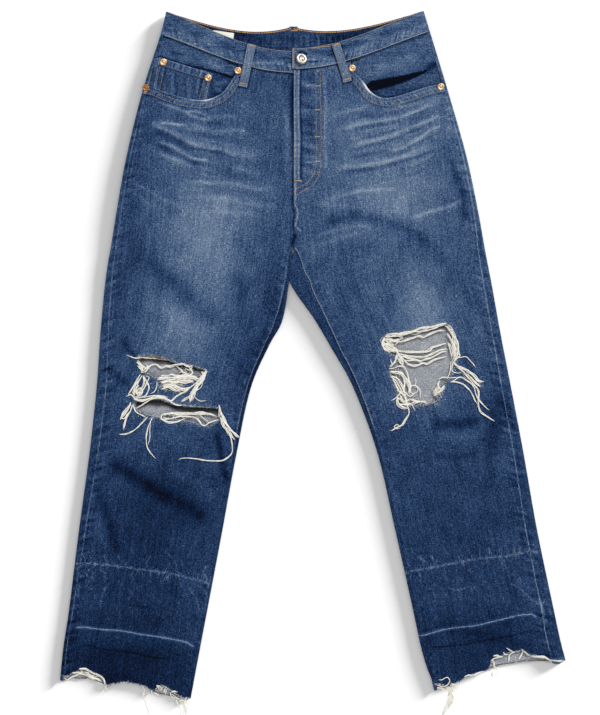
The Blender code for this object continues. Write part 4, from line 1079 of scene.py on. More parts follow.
def make_denim(name, wear_and_shade_name):
    """Indigo denim; wear_and_shade_name is the attribute that says how worn it is and where painted shade
    darkens it.
    """
    s = Shader(name)
    wear = s.attribute(wear_and_shade_name).outputs["Fac"]
    grain = s.attribute("grain").outputs["Vector"]
    warp = s.noise(grain, (1.45, 5.0, 1.0), 3.0)
    weft = s.noise(grain, (4.6, 1.5, 1.0), 3.0)
    speckle = s.noise(grain, (1.4, 1.55, 1.0), 3.0)
    fleck = s.spread(s.noise(grain, (1.5, 5.0, 3.0), 2.0), 0.56, 0.78)
    cloud = s.noise(grain, (20.0, 28.0, 1.0), 3.0)
    wave = {"Vector": s.scaled(grain, (1.0, 0.55, 0.0)), "Scale": 0.42, "Distortion": 0.6, "Detail": 1.0,
            "Detail Scale": 1.5}
    twill = s.node("ShaderNodeTexWave", wave, bands_direction="DIAGONAL").outputs["Fac"]
    slub = s.noise(grain, (2.6, 60.0, 1.0), 2.0)
    uneven = s.added(0.0, (warp, 0.76), (weft, 0.60), (speckle, 1.36), (cloud, 0.36), (slub, 0.42),
                     (twill, 0.06))
    uneven = s.math("MULTIPLY_ADD", fleck, 0.26, s.math("SUBTRACT", uneven, 0.025))
    # unevenness shows most on half-worn cloth
    rise = s.spread(wear, 0.10, 0.46, 0.72, 1.28)
    fall = s.spread(wear, 0.78, 1.10, 1.0, 0.5)
    # worn is the wear with its painted shade, plus the cloth's unevenness
    worn = s.math("MULTIPLY_ADD", uneven, s.math("MULTIPLY", rise, fall), wear)
    colour = s.ramp(worn, INDIGO[0][0], INDIGO[-1][0], [(place, linear(*c)) for place, c in INDIGO])
    height = s.added(warp, (weft, 0.8), (speckle, 1.0), (twill, 0.6))
    return s.finish(colour, 0.88, s.bump(height, 0.00035, 0.55),
                    Sheen_Weight=0.03, Sheen_Roughness=0.5, Specular_IOR_Level=0.06)


def make_reverse():
    """The wrong side: mostly the undyed weft, speckled with the blue warp."""
    s = Shader("denim_reverse")
    shade = s.attribute("shade").outputs["Fac"]
    grain = s.attribute("grain").outputs["Vector"]
    speckle = s.noise(grain, (1.5, 1.9, 1.0), 2.0)
    weft = s.noise(grain, (5.0, 1.3, 1.0), 2.0)
    cloud = s.noise(grain, (18.0, 24.0, 1.0), 2.0)
    mixed = s.added(0.5, (speckle, 1.5), (weft, 0.7), (cloud, 0.5))
    stops = [(0.0, linear(84, 96, 120)), (0.5, linear(150, 154, 162)), (1.0, linear(214, 214, 212))]
    colour = s.ramp(mixed, 0.0, 1.0, stops)
    return s.finish(s.shaded(colour, shade), 0.95, s.bump(mixed, 0.0003, 0.5), Sheen_Weight=0.15)


def make_yarn(name, dark, light, size):
    """Cotton yarn between two display colours, uneven over a size in mm."""
    s = Shader(name)
    place = s.node("ShaderNodeTexCoord").outputs["Object"]
    fibre = s.noise(place, (size * MM,) * 3, 3.0)
    cloud = s.noise(place, (9 * MM,) * 3, 1.0)
    mixed = s.added(0.5, (fibre, 1.2), (cloud, 0.8))
    colour = s.ramp(mixed, 0.0, 1.0, [(0.0, linear(*dark, 1.0)), (1.0, linear(*light, 1.0))])
    colour = s.shaded(colour, s.attribute("shade").outputs["Fac"])
    return s.finish(colour, 0.9, s.bump(fibre, 0.0003, 0.6), Sheen_Weight=0.2)


def make_metal(name, dull, bright, tarnish, roughness):
    """Handled metal between three display colours."""
    s = Shader(name)
    place = s.node("ShaderNodeTexCoord").outputs["Object"]
    cloud = s.noise(place, (1.6 * MM,) * 3, 3.0)
    scratches = s.noise(place, (0.25 * MM, 2.2 * MM, 1.0 * MM), 2.0)
    mixed = s.added(0.5, (cloud, 1.6), (scratches, 0.7))
    stops = [(0.0, linear(*tarnish, 1.0)), (0.35, linear(*dull, 1.0)), (0.8, linear(*bright, 1.0))]
    colour = s.ramp(mixed, 0.0, 1.0, stops)
    rough = s.math("MULTIPLY_ADD", cloud, 0.3, roughness - 0.15)
    return s.finish(colour, rough, s.bump(scratches, 0.00004, 0.6), Metallic=1.0)


def make_floor_material():
    s = Shader("pale_floor")
    place = s.node("ShaderNodeTexCoord").outputs["Object"]
    cloud = s.noise(place, (0.7, 0.7, 0.7), 1.0)
    colour = s.ramp(cloud, 0.0, 1.0, [(0.0, (0.95, 0.95, 0.95, 1)), (1.0, (0.97, 0.97, 0.97, 1))])
    return s.finish(colour, 1.0, None, Specular_IOR_Level=0.0)


DENIM = make_denim("denim_indigo", "wear")
DENIM_INSIDE = make_denim("denim_inside", "inside")
REVERSE = make_reverse()
YARNS = {name: make_yarn(f"yarn_{name}", *looks) for name, looks in {
    "white": ((236, 231, 216), (255, 254, 248), 0.9),
    "tan": ((118, 98, 68), (200, 172, 124), 0.6),
    "orange": ((164, 116, 62), (236, 184, 116), 0.6),
    "pale": ((140, 136, 128), (214, 208, 194), 0.6),
    "blue": ((78, 100, 134), (160, 176, 198), 0.6),
    "gold": ((146, 114, 66), (220, 182, 120), 0.6),
    "worn": ((104, 136, 174), (176, 202, 226), 0.8),
}.items()}
COTTON_LABEL = make_yarn("label_cotton", (226, 222, 206), (250, 248, 238), 0.7)
COPPER = make_metal("rivet_copper", (206, 160, 112), (246, 214, 168), (120, 78, 48), 0.42)
COPPER_DULL = make_metal("rivet_copper_dull", (134, 94, 62), (188, 142, 98), (72, 46, 32), 0.52)
NICKEL = make_metal("button_nickel", (146, 142, 132), (222, 218, 205), (62, 58, 50), 0.36)


# ================================================================ meshes
def mesh_object(name, points, faces, looks=None, materials=(DENIM, REVERSE)):
    """A mesh from points in mm.  looks are its point attributes: wear, which carries painted shade too, shade
    and grain.
    """
    mesh = bpy.data.meshes.new(name)
    mesh.from_pydata((np.asarray(points) * MM).tolist(), [], faces)
    for key, values in (looks or {}).items():
        kind, field = ("FLOAT_VECTOR", "vector") if key == "grain" else ("FLOAT", "value")
        attribute = mesh.attributes.new(key, kind, "POINT")
        attribute.data.foreach_set(field, np.asarray(values, np.float32).ravel())
    for material in materials:
        mesh.materials.append(material)
    mesh.shade_smooth()
    thing = bpy.data.objects.new(name, mesh)
    bpy.context.scene.collection.objects.link(thing)
    return thing


def thicken(thing, thickness=CLOTH, rounding=0.0):
    """Cloth thickness on the inner side; the inner face takes the second material."""
    solidify = thing.modifiers.new("Cloth", "SOLIDIFY")
    solidify.thickness = thickness * MM
    solidify.offset = -1.0
    solidify.material_offset = 1
    if rounding:
        bevel = thing.modifiers.new("Rounded edge", "BEVEL")
        bevel.width = rounding * MM
        bevel.segments = 2
        bevel.limit_method = "ANGLE"
        bevel.angle_limit = math.radians(50)
    return thing


def grain_of(side, x, y, layer):
    """Place in the weave: across and along the leg, which leans, and a number for the piece."""
    outer, inner = FOLD_LINES[side]
    outer_x, inner_x = (np.interp(y, line[::-1, 1], line[::-1, 0]) for line in (outer, inner))
    return np.stack([x - 0.5 * (outer_x + inner_x), y, np.full(x.shape, 10.0 * layer)], axis=-1)


def grid_faces(rows, columns, flipped):
    index = np.arange(rows * columns).reshape(rows, columns)
    corners = [index[:-1, :-1], index[:-1, 1:], index[1:, 1:], index[1:, :-1]]
    if flipped:
        corners.reverse()
    return np.stack(corners, axis=-1).reshape(-1, 4).tolist()


def grid_object(name, points, flipped, looks, thickness=CLOTH, rounding=0.3,
                materials=(DENIM, REVERSE)):
    """An open sheet from a grid of points in mm (rows, columns, 3), thickened inwards."""
    rows, columns, _ = points.shape
    flat = {key: np.reshape(v, (rows * columns, -1)) for key, v in looks.items()}
    thing = mesh_object(name, points.reshape(-1, 3), grid_faces(rows, columns, flipped), flat, materials)
    return thicken(thing, thickness, rounding)


FINE = 1.5             # spacing of a panel's points where there is detail; elsewhere it is double
EDGE_STEP = 1.6        # and along its edges
EDGE_CLEAR = 0.8       # no other point is nearer an edge,
EDGE_BAND = 3.2        # and the spacing is fine up to here
EDGE_FELT = 9.0        # no distance from an edge is worked out beyond this
MERGED = 1e-4          # points closer than this are one
SLIVER = 0.02          # mm2, twice the area of a triangle too thin to keep
SEAM_LAP = 0.5         # how far a front's edge lies over the back's beside a seam,
LAP_LIFT = 0.35        # and how far above it


def lattice(low, high):
    """Fine hexagonal lattice over a box, and which of its points are also on the coarse one."""
    pitch = FINE * math.sqrt(3) / 2
    rows = np.arange(int((high[1] - low[1]) / pitch) + 1)
    columns = np.arange(int((high[0] - low[0]) / FINE) + 2)
    i, j = np.meshgrid(rows, columns, indexing="ij")
    x = low[0] + FINE * (j - 0.5 * (i % 2))
    y = low[1] + pitch * i
    # every second row, and every second point in it, staggered like the fine rows
    coarse = (i % 2 == 0) & ((j + (i // 2) % 2) % 2 == 0)
    return x.ravel(), y.ravel(), coarse.ravel()


def edge_distance(loops, x, y):
    """Distance from each place to the nearest of the closed loops."""
    best = np.full(x.shape, FAR)
    for loop in loops:
        for (ax, ay), (bx, by) in zip(loop, np.roll(loop, -1, axis=0)):
            rx, ry = bx - ax, by - ay
            near = near_line([(ax, ay), (bx, by)], x, y, EDGE_FELT)
            px, py = x[near] - ax, y[near] - ay
            t = np.clip((px * rx + py * ry) / max(rx * rx + ry * ry, 1e-9), 0, 1)
            best[near] = np.minimum(best[near], np.hypot(px - rx * t, py - ry * t))
    return best


def panel_mesh(outline, cuts, detail):
    """Triangles that fill an outline in plan, less the cuts.

    detail says where the fine spacing is wanted.  Gives the points, the triangles and each
    point's distance from the nearest edge.
    """
    loops = [np.asarray(outline, float)] + [np.asarray(cut, float) for cut in cuts]
    x, y, coarse = lattice(loops[0].min(0), loops[0].max(0))
    within = inside(loops[0], x, y)
    x, y, coarse = x[within], y[within], coarse[within]
    away = edge_distance(loops, x, y)
    keep = (away > EDGE_CLEAR) & (coarse | (away < EDGE_BAND) | detail(x, y))
    for loop in loops[1:]:
        keep &= ~inside(loop, x, y)
    x, y = x[keep], y[keep]
    points, edges, count = [], [], 0
    for loop in loops:
        points.extend(Vector(p) for p in loop)
        n = len(loop)
        edges.extend((count + k, count + (k + 1) % n) for k in range(n))
        count += n
    points.extend(Vector(p) for p in zip(x, y))
    made = delaunay_2d_cdt(points, edges, [], 0, MERGED)
    plan = np.array([tuple(p) for p in made[0]])
    faces = np.array([f for f in made[2] if len(f) == 3])
    middle = plan[faces].mean(axis=1)
    wanted = inside(loops[0], middle[:, 0], middle[:, 1])
    for loop in loops[1:]:
        wanted &= ~inside(loop, middle[:, 0], middle[:, 1])
    faces = faces[wanted]
    a, b, c = (plan[faces[:, k]] for k in range(3))
    turn = (b[:, 0] - a[:, 0]) * (c[:, 1] - a[:, 1]) - (b[:, 1] - a[:, 1]) * (c[:, 0] - a[:, 0])
    sound = np.abs(turn) > SLIVER
    faces, turn = faces[sound], turn[sound]
    faces[turn < 0] = faces[turn < 0][:, ::-1]
    used, faces = np.unique(faces, return_inverse=True)
    plan = plan[used]
    return plan, faces.reshape(-1, 3).tolist(), edge_distance(loops, plan[:, 0], plan[:, 1])


def ragged(outline, step, depth, seed):
    """A torn edge: the outline with finer steps, each moved a little."""
    line = straight(np.vstack([outline, outline[:1]]), step)[:-1]
    draw = np.random.default_rng(seed)
    return line + draw.normal(0.0, depth, line.shape)


# ================================================================ seams and worn edges
def seam_line(side, which, s_from=WAIST_SEAM, s_to=HEM):
    """The outseam or the inseam, as it lies on the front of the leg."""
    place = station(side, np.linspace(s_from, s_to, 90))
    distance = place.outseam if which == "outseam" else width_of(place) - place.inseam
    return np.column_stack(spot(side, place, distance))


def foot_line(side):
    """The general run of the raw hem, side fold to inner edge."""
    place = station(side, HEM)
    return np.column_stack(spot(side, place, width_of(place) * np.linspace(0, 1, 9)))


def foot_height(side, x):
    return np.interp(x, *foot_line(side)[::int(INWARD[side])].T)


def front_hem(side, x):
    """The front's torn edge across the foot of the leg."""
    return np.interp(x, *np.array(HEM_EDGES[side], float).T)


def back_hem(side, x):
    """The back's torn edge across the foot of the leg."""
    return np.interp(x, *np.array(BACK_HEMS[side], float).T) + 0.9 * waver(x, 4.3, 1.0)


def waist_seam(side):
    place = station(side, WAIST_SEAM)
    return np.column_stack(spot(side, place, np.linspace(0, float(width_of(place)), 60)))


SEAMS = {(side, "outseam"): seam_line(side, "outseam") for side in LEGS}
SEAMS.update({(side, "inseam"): seam_line(side, "inseam", CROTCH) for side in LEGS})
MOUTHS = {side: rounded(POCKET_MOUTH[side], 4.0) for side in LEGS}
WAIST_LINE = np.array(sorted(tuple(p) for side in LEGS for p in waist_seam(side)))


def below_waist(x, y):
    """Distance below the seam between the waistband and the fronts."""
    return np.interp(x, *WAIST_LINE.T) - y


def beside_seam(side, which, x, y):
    """Distance from a seam, positive on the front's side of it, and the distance along it."""
    off, at, _ = trace(SEAMS[side, which], x, y)
    return off * INWARD[side] * (1 if which == "outseam" else -1), at


def rim_wear(side, x, y):
    """The pale, rubbed fold at the side of the hips."""
    share, width = across_leg(side, x, y)
    rim = bell(share * width, 0.9, 1.5) * (0.55 + 0.45 * waver(y, 17, 1.0))
    return 0.26 * rim * smooth(90, 170, y) * fade(330, 360, y)


RIDGE_GAIN = {"right": 1.0, "left": 1.25}     # how strongly each outseam's ridge is worn


def outseam_looks(side, x, y):
    """Height and wear of the pale, broken ridges over the turnings, and of the puckers beside them."""
    inward, at = beside_seam(side, "outseam", x, y)
    short, shorter, slow = (np.clip(0.5 + 0.9 * waver(at, length, seed), 0, 1.2)
                            for length, seed in ((9, 1.0), (7, 2.0), (60, 3.0)))
    ridge = bell(inward, 0.6, 1.3) * (0.40 + 0.60 * short) * (0.6 + 0.4 * slow) * RIDGE_GAIN[side]
    second = bell(inward, 5.6, 1.2) * shorter * (0.4 + 0.6 * slow)
    wave = np.clip(1.5 * waver(at + 0.5 * inward, 14.5, 3.0), -1, 1) * (0.65 + 0.45 * waver(at, 70, 1.0))
    from_fold = smooth(-13, -3, inward)
    pucker = wave * from_fold * fade(4, 19, inward)
    upper = smooth(-60, 120, y)
    wear = mix(0.42, 0.46, upper) * ridge + mix(0.12, 0.26, upper) * second
    wear = wear + mix(0.19, 0.17, upper) * pucker + rim_wear(side, x, y)
    return 0.3 * ridge + 0.38 * pucker, wear - 0.05 * from_fold * fade(3, 15, inward)


def inseam_looks(side, x, y):
    """The same for the inseam: a ridge, a groove below it and the shaded strip beyond."""
    inward, at = beside_seam(side, "inseam", x, y)
    reach = smooth(-9, -2, inward) * fade(10, 22, inward)
    pucker = waver(at + 0.4 * inward, 16, 2.0) * smooth(1, 4, inward) * fade(7, 18, inward)
    ridge = bell(inward, 1.4, 1.3) * (0.7 + 0.3 * waver(at, 13, 5.0))
    groove = bell(inward, -1.4, 1.2)
    strip = fade(-4, -1, inward) * fade(20, 40, -inward)
    high = smooth(-200, -90, y)
    wear = 0.24 * high * (ridge - groove) + mix(0.05, 0.14, high) * pucker - mix(0.02, 0.14, high) * strip
    return 0.3 * (ridge - high * groove + pucker) * reach, wear


LIP_WIDTH = 9.0
LIP_FOOT = 247.0


def fly_looks(side, x, y):
    """The pale folded lip of the fly on the left front, with painted shade in the groove beside it, and
    painted shadow in the gap under it on the right.
    """
    across = x - CENTRE_X - 0.8 * waver(y, 150, 2.0) * smooth(LIP_FOOT, 300, y)
    if side == "right":
        # painted shadow in the gap under the left front's lip
        gap = mix(3.6, 8.6, smooth(275, 340, y)) * (1 + 0.15 * waver(y, 40, 1.0))
        dark = np.clip(1 + across / gap, 0, 1) ** 1.3 * smooth(205, 235, y)
        return -0.3 * dark, -0.52 * dark
    along = smooth(LIP_FOOT - 3, LIP_FOOT + 3, y)
    body = fade(LIP_WIDTH - 0.6, LIP_WIDTH + 0.6, across)
    edges = (bell(across, 1.6, 1.2) + 0.8 * bell(across, 7.4, 1.2)) * (0.65 + 0.5 * waver(y, 8, 1.0))
    # painted shade in the groove beside the lip
    groove = bell(across, LIP_WIDTH + 1.4, 1.3)
    foot = (1 - along) * smooth(205, 220, y) * fade(4, 6, across)
    ripples = waver(y + 0.3 * x, 21, 1.0) * smooth(9, 13, across) * fade(25, 38, across)
    ripples = ripples * smooth(235, 260, y)
    beyond = smooth(LIP_WIDTH + 1, LIP_WIDTH + 3, across) * fade(26, 34, across) * smooth(250, 270, y)
    wear = along * (0.14 * body + 0.58 * edges - 0.46 * groove) + 0.16 * foot + 0.20 * ripples
    return 0.35 * along * (body - groove) + 0.2 * foot + 0.3 * ripples, wear - 0.09 * beyond


# Where the pocket mouths are worn white: middle, heading, half length, half width, amount.
MOUTH_WEAR = (
    Patch(-139, 368.6, 32, 16, 3.2, 1.35),
    Patch(-158, 361, 4, 18, 2.0, 0.55),
    Patch(77, 379, -52, 11, 2.4, 1.25),
    Patch(89, 368, -32, 11, 1.8, 0.55),
)
MOUTH_ROWS = (5.4, 11.2)       # rows of stitches below a pocket's mouth


def mouth_looks(side, x, y):
    """The hem of a pocket's mouth: worn edge, puckers between its rows of stitches."""
    off, at, total = trace(MOUTHS[side], x, y)
    below = off * INWARD[side]
    here = (below > -1) & (below < 40)
    edge = fade(0.6, 2.2, below)
    between = smooth(3.0, 4.6, below) * fade(10, 12.5, below)
    pucker = waver(at - 0.6 * below, 6.0, 2.0)
    shadow = bell(below, 13.6, 1.5) + 0.6 * bell(below, 3.4, 1.0)
    wear = 0.40 * edge * (0.7 + 0.3 * waver(at, 9, 4.0)) + between * (0.05 + 0.30 * pucker)
    wear = wear - 0.16 * shadow
    height = between * (0.25 + 0.2 * pucker) - 0.2 * shadow
    ends = smooth(0, 3, at) * smooth(0, 3, total - at) * here
    return height * ends, wear * ends + soft_sum(MOUTH_WEAR, x, y)


def waist_looks(x, y):
    """The line of the waist seam on the fronts: shaded under the band, with fine puckers."""
    below = below_waist(x, y)
    shade = fade(0.3, 2.2, below)
    pale = bell(below, 4.0, 1.2) * (0.5 + 0.5 * waver(x, 14, 3.0))
    pucker = waver(x + 0.5 * below, 9, 1.0) * smooth(2, 5, below) * fade(9, 16, below)
    return 0.25 * pucker, -0.26 * shade + 0.14 * pale + 0.10 * pucker


def loop_shade(x, y):
    """The dark line on the cloth round the front loops."""
    dark = np.zeros(x.shape)
    for upper, lower in FRONT_LOOPS.values():
        run = np.subtract(lower, upper)
        length = np.hypot(*run)
        run = run / length
        along = (x - upper[0]) * run[0] + (y - upper[1]) * run[1]
        across = np.abs((x - upper[0]) * run[1] - (y - upper[1]) * run[0])
        beyond = np.abs(along - length / 2) - length / 2
        away = np.hypot(np.maximum(across - LOOP_WIDTH / 2, 0), np.maximum(beyond, 0))
        dark = np.maximum(dark, fade(0.4, 3.2, away))
    return dark


def fray_looks(side, x, y):
    """Pale, feathered cloth along the rips and the raw hem."""
    away = edge_distance([np.array(rip, float) for rip in RIPS[side]], x, y)
    torn = fade(0, 5.0, away) * (0.6 + 0.4 * waver(1.7 * x + y, 5, 2.0))
    hem = fade(0, 3.6, y - front_hem(side, x)) * (0.6 + 0.4 * waver(x, 5, 1.0))
    return 0.2 * torn, 0.48 * torn + 0.42 * hem


def combined(*parts):
    """The sum of several heights, and of the wear that goes with them."""
    return tuple(sum(values) for values in zip(*parts))


def top_looks(side, x, y):
    """Height, and wear with painted shade, of the cloth on top; the same on both sides of a seam."""
    parts = (outseam_looks, inseam_looks, fly_looks, fray_looks)
    return combined((relief(side, x, y), base_wear_and_shade(side, x, y)), mark_sum(MARKS, x, y),
                    *(looks(side, x, y) for looks in parts))


def front_looks(side, x, y):
    """Height, and wear with painted shade, of a front, with its pocket's mouth and its waist seam."""
    return combined(top_looks(side, x, y), mouth_looks(side, x, y), waist_looks(x, y))


def lapped(side, x, y):
    """1 where a front lies over the back beside a seam."""
    to_seams = np.minimum(*(beside_seam(side, which, x, y)[0] for which in ("outseam", "inseam")))
    return fade(1.2, 3.0, to_seams)


# ================================================================ the pieces of cloth
def front_outline(side):
    s = np.linspace(WAIST_SEAM, HEM, 420)
    place = station(side, s)
    outer = np.column_stack(spot(side, place, place.outseam - SEAM_LAP))
    inset = np.maximum(place.inseam - SEAM_LAP, 0.0)
    inner = np.column_stack(spot(side, place, width_of(place) - inset))
    top = station(side, WAIST_SEAM)
    low, high = top.outseam - SEAM_LAP, width_of(top)
    across = np.column_stack(spot(side, top, np.linspace(low, high, 100)[1:-1]))
    foot = station(side, HEM)
    low, high = foot.outseam - SEAM_LAP, width_of(foot) - foot.inseam + SEAM_LAP
    along_hem = np.column_stack(spot(side, foot, np.linspace(low, high, 100)[1:-1]))
    return np.vstack([across, inner, along_hem[::-1], outer[::-1]])


ABOVE_WAIST = 480.0         # clear of the garment at both ends
BELOW_HEM = -520.0
RIP_RAGGED = (2.0, 0.7)     # step and depth of a torn edge
HEM_RAGGED = (2.2, 0.8)


def front_cuts(side):
    """What is cut out of a front: above the pocket's mouth, the rips, and below the raw hem."""
    mouth = MOUTHS[side]
    corners = [(mouth[-1][0], ABOVE_WAIST), (mouth[0][0], ABOVE_WAIST)]
    cuts = [np.vstack([straight(mouth, EDGE_STEP), corners])]
    for n, rip in enumerate(RIPS[side]):
        cuts.append(ragged(rip, *RIP_RAGGED, 11 + n))
    edge = HEM_EDGES[side]
    hem = ragged(edge, *HEM_RAGGED, 21)[:-1]
    below = [(edge[-1][0], BELOW_HEM), (edge[0][0], BELOW_HEM)]
    last = next(k for k, p in enumerate(hem) if p[0] >= edge[-1][0] - 2)
    cuts.append(np.vstack([hem[:last + 1], below]))
    return cuts


def front_detail(side):
    """Says where a front needs the fine spacing."""
    lines = [(MOUTHS[side], 14), (SEAMS[side, "outseam"], 13), (SEAMS[side, "inseam"], 7)]
    lines += [(np.array(LET_DOWN[side][0], float), 16)]
    lines += [(rounded(mark.points, 8.0), 3.5) for mark in MARKS]
    lines += [(rounded(crease.points, 12.0), 4) for crease in CREASES if crease.width < 4]

    def wanted(x, y):
        near = (np.abs(x - CENTRE_X) < 14) & (y > 200)
        near |= below_waist(x, y) < 10
        for line, reach in lines:
            box = near_line(line, x, y, reach)
            if box.any():
                near[box] |= np.abs(trace(line, x[box], y[box])[0]) < reach
        return near
    return wanted


def front_heights(side, x, y):
    """Top of a front with its folds, before its fine relief."""
    return level(y, 1) + relief(side, x, y) + fly_rise(side, x, y)


def make_front(side):
    plan, faces, edge = panel_mesh(front_outline(side), front_cuts(side), front_detail(side))
    x, y = plan.T
    height, wear = front_looks(side, x, y)
    turned_down = -0.5 * fade(0, 1.6, edge)
    z = level(y, 1) + fly_rise(side, x, y) + height + mix(turned_down, LAP_LIFT, lapped(side, x, y))
    looks = {"wear": wear - 0.30 * loop_shade(x, y), "grain": grain_of(side, x, y, 1)}
    return thicken(mesh_object(f"front_{side}", np.column_stack([x, y, z]), faces, looks))


STRIP = 6              # columns from the seam to the fold, on top
TURN = 8               # steps round the fold
UNDER = 44             # columns underneath
INNER = STRIP + TURN + 1
CENTRE_MARGIN = 10.0   # width of the last columns beside the centre back


def ring(place, laid):
    """One station round a back: distance from the side fold, and level (1 on top, -1 below)."""
    def spread(start, end, shares):
        return start[..., None] + (end - start)[..., None] * shares

    width = width_of(place)
    angles = np.radians(np.linspace(90, -90, TURN + 1))
    turn = np.broadcast_to(FOLD * (1 - np.cos(angles)), width.shape + (TURN + 1,))
    turn_lift = np.broadcast_to(np.sin(angles), turn.shape)
    strip = np.arange(STRIP) / STRIP
    flat = np.full(width.shape, FOLD)
    first = spread(place.outseam - GAP / 2, flat, strip)
    last_of_under = mix(width - FOLD, width - CENTRE_MARGIN, laid)
    under = spread(flat, last_of_under, np.arange(1, UNDER) / UNDER)
    inner_strip = spread(width - FOLD, width - place.inseam + GAP / 2, np.arange(1, STRIP + 1) / STRIP)
    folded = np.concatenate([width[..., None] - turn[..., ::-1], inner_strip], -1)
    folded_lift = np.concatenate([turn_lift[..., ::-1], np.ones(width.shape + (STRIP,))], -1)
    beside_centre = width[..., None] - CENTRE_MARGIN * (1 - np.arange(INNER) / (INNER - 1))
    inner = mix(folded, beside_centre, laid[..., None])
    inner_lift = mix(folded_lift, -1.0, laid[..., None])
    distance = np.concatenate([first, turn, under, inner], -1)
    lift = np.concatenate([np.ones(first.shape), turn_lift, -np.ones(under.shape), inner_lift], -1)
    return distance, lift


def back_grid(side, s_rows, dip):
    """Points round a back or a yoke.  dip(share, s) moves each column down the leg."""
    share = column_shares(side)
    s = s_rows[:, None] + dip(share[None, :], s_rows[:, None])
    place_rows = station(side, s)
    distance, lift = np.empty(s.shape), np.empty(s.shape)
    for k in range(len(share)):
        place = Station(*(field[:, k] for field in place_rows))
        d, z = ring(place, fade(CROTCH, FORK, s[:, k]))
        distance[:, k], lift[:, k] = d[:, k], z[:, k]
    x, y = spot(side, place_rows, distance, (1 - lift) / 2)
    return x, y, lift


def column_shares(side):
    """How far across the seat each column lies, 0 at the side and 1 at the centre back."""
    place = station(side, 0.6)
    distance, lift = ring(place, np.array(1.0))
    return np.where(lift > -1, 0.0, distance / width_of(place))


def even_rows(side, s_from, s_to, step=3.4):
    """Station numbers about a step apart down the middle of the leg."""
    s = np.linspace(s_from, s_to, 600)
    place = station(side, s)
    x, y = spot(side, place, width_of(place) / 2)
    travelled = np.concatenate([[0], np.cumsum(np.hypot(np.diff(x), np.diff(y)))])
    count = int(travelled[-1] / step) + 1
    return np.interp(np.linspace(0, travelled[-1], count + 1), travelled, s)


def yoke_seam(share):
    return mix(YOKE_SIDE, YOKE_CENTRE, share)


# How far the shade under each rip's upper edge reaches.
RIP_SHADE = {"right": (8.5, 10.5), "left": (5.0,)}


def upper_edge(loop, x):
    """The highest y of a closed outline at x."""
    sides = zip(loop, np.roll(loop, -1, axis=0))
    return max(mix(ay, by, (x - ax) / (bx - ax)) for (ax, ay), (bx, by) in sides
               if min(ax, bx) <= x <= max(ax, bx) and ax != bx)


def hollow_shade(side, x, y):
    """Shade on the back's inner face, seen through the rips: deepest under their upper edges."""
    shade = np.zeros(x.shape)
    for rip, reach in zip(RIPS[side], RIP_SHADE[side]):
        loop = np.array(rip, float)
        steps = np.linspace(loop[:, 0].min() + 0.5, loop[:, 0].max() - 0.5, 60)
        under = np.interp(x, steps, [upper_edge(loop, v) for v in steps]) - y
        depth = reach * (1 + 0.25 * waver(x, 37, 1.0))
        dark = 0.94 * fade(0.6 * depth, 1.15 * depth, under) + 0.02
        rim = 0.45 * fade(0, 4.5, edge_distance([loop], x, y))
        shade = np.where(inside(loop, x, y), np.maximum(dark, rim), shade)
    return shade


# Soft creases on the underside, worn pale on their ridges and with painted shade in their troughs, and worn
# patches.
BACK_CREASES = (
    Crease(((-210, 190), (-160, 176), (-110, 178), (-60, 190)), 7.0, 0.6, 0.14),
    Crease(((-205, 176), (-150, 164), (-100, 165), (-55, 174)), 6.0, -0.5, -0.14),
    Crease(((150, 184), (100, 172), (50, 176), (5, 192)), 7.0, 0.6, 0.14),
    Crease(((155, 170), (110, 160), (60, 160), (10, 176)), 6.0, -0.5, -0.14),
    Crease(((-240, 148), (-180, 136), (-120, 140), (-70, 150)), 6.0, 0.6, 0.12),
    Crease(((200, 146), (140, 134), (90, 136), (30, 150)), 6.0, 0.6, 0.12),
    Crease(((-270, -10), (-210, -24), (-150, -18), (-110, -8)), 6.0, 0.7, 0.24),
    Crease(((-265, -30), (-205, -40), (-150, -34)), 6.0, -0.6, -0.18),
    Crease(((-280, -56), (-220, -62), (-150, -52), (-118, -44)), 6.0, 0.7, 0.22),
    Crease(((-285, -92), (-230, -98), (-170, -86)), 7.0, 0.6, 0.16),
    Crease(((90, -12), (140, -20), (200, -14), (250, 4)), 6.0, 0.7, 0.24),
    Crease(((95, -32), (150, -38), (210, -30)), 6.0, -0.6, -0.18),
    Crease(((105, -58), (160, -62), (220, -50), (262, -38)), 6.0, 0.7, 0.22),
    Crease(((120, -96), (180, -96), (240, -84)), 7.0, 0.6, 0.16),
)
CREASED_BELOW = 120.0       # above this the underside's creases are painted only
BACK_PATCHES = (
    Patch(-130, 270, 88, 70, 50, 0.16),
    Patch(80, 270, 92, 70, 50, 0.16),
    Patch(-185, 60, 84, 90, 40, 0.14),
    Patch(150, 60, 96, 90, 40, 0.14),
    Patch(-240, -330, 80, 120, 60, -0.16),
    Patch(240, -320, 100, 120, 60, -0.14),
)


def back_wear_and_shade(side, x, y):
    """Wear and painted shade of the underside: a calmer copy of the front's fading, with its own soft
    creases.
    """
    rows = np.array(LEG_FADES[side], float)
    faded = np.interp(y, rows[:, 0], 0.5 * (rows[:, 1] + rows[:, 2]))
    wear = 0.75 * faded + 0.08 + soft_sum(BACK_PATCHES, x, y)
    return wear + crease_sum(BACK_CREASES, x, y)[1] + 0.03 * waver(x + 0.4 * y, 90, 1.3)


def back_looks(side, x, y, lift):
    """Height, and wear with painted shade, of cloth that shows on top beside the seams, wraps round and lies
    below.
    """
    on_top = smooth(-1, 1, lift)
    top_height, top_wear_and_shade = top_looks(side, x, y)
    hem = 0.40 * fade(0, 3.5, y - back_hem(side, x))
    wear = mix(back_wear_and_shade(side, x, y) + hem, top_wear_and_shade, on_top)
    raised = np.maximum(crease_sum(BACK_CREASES, x, y)[0], 0.0)     # the underside stays flat
    under = level(y, 2) + raised * (lift <= -1) * (y < CREASED_BELOW)
    z = mix(under, level(y, 1) + top_height, (1 + lift) / 2)
    return z, wear


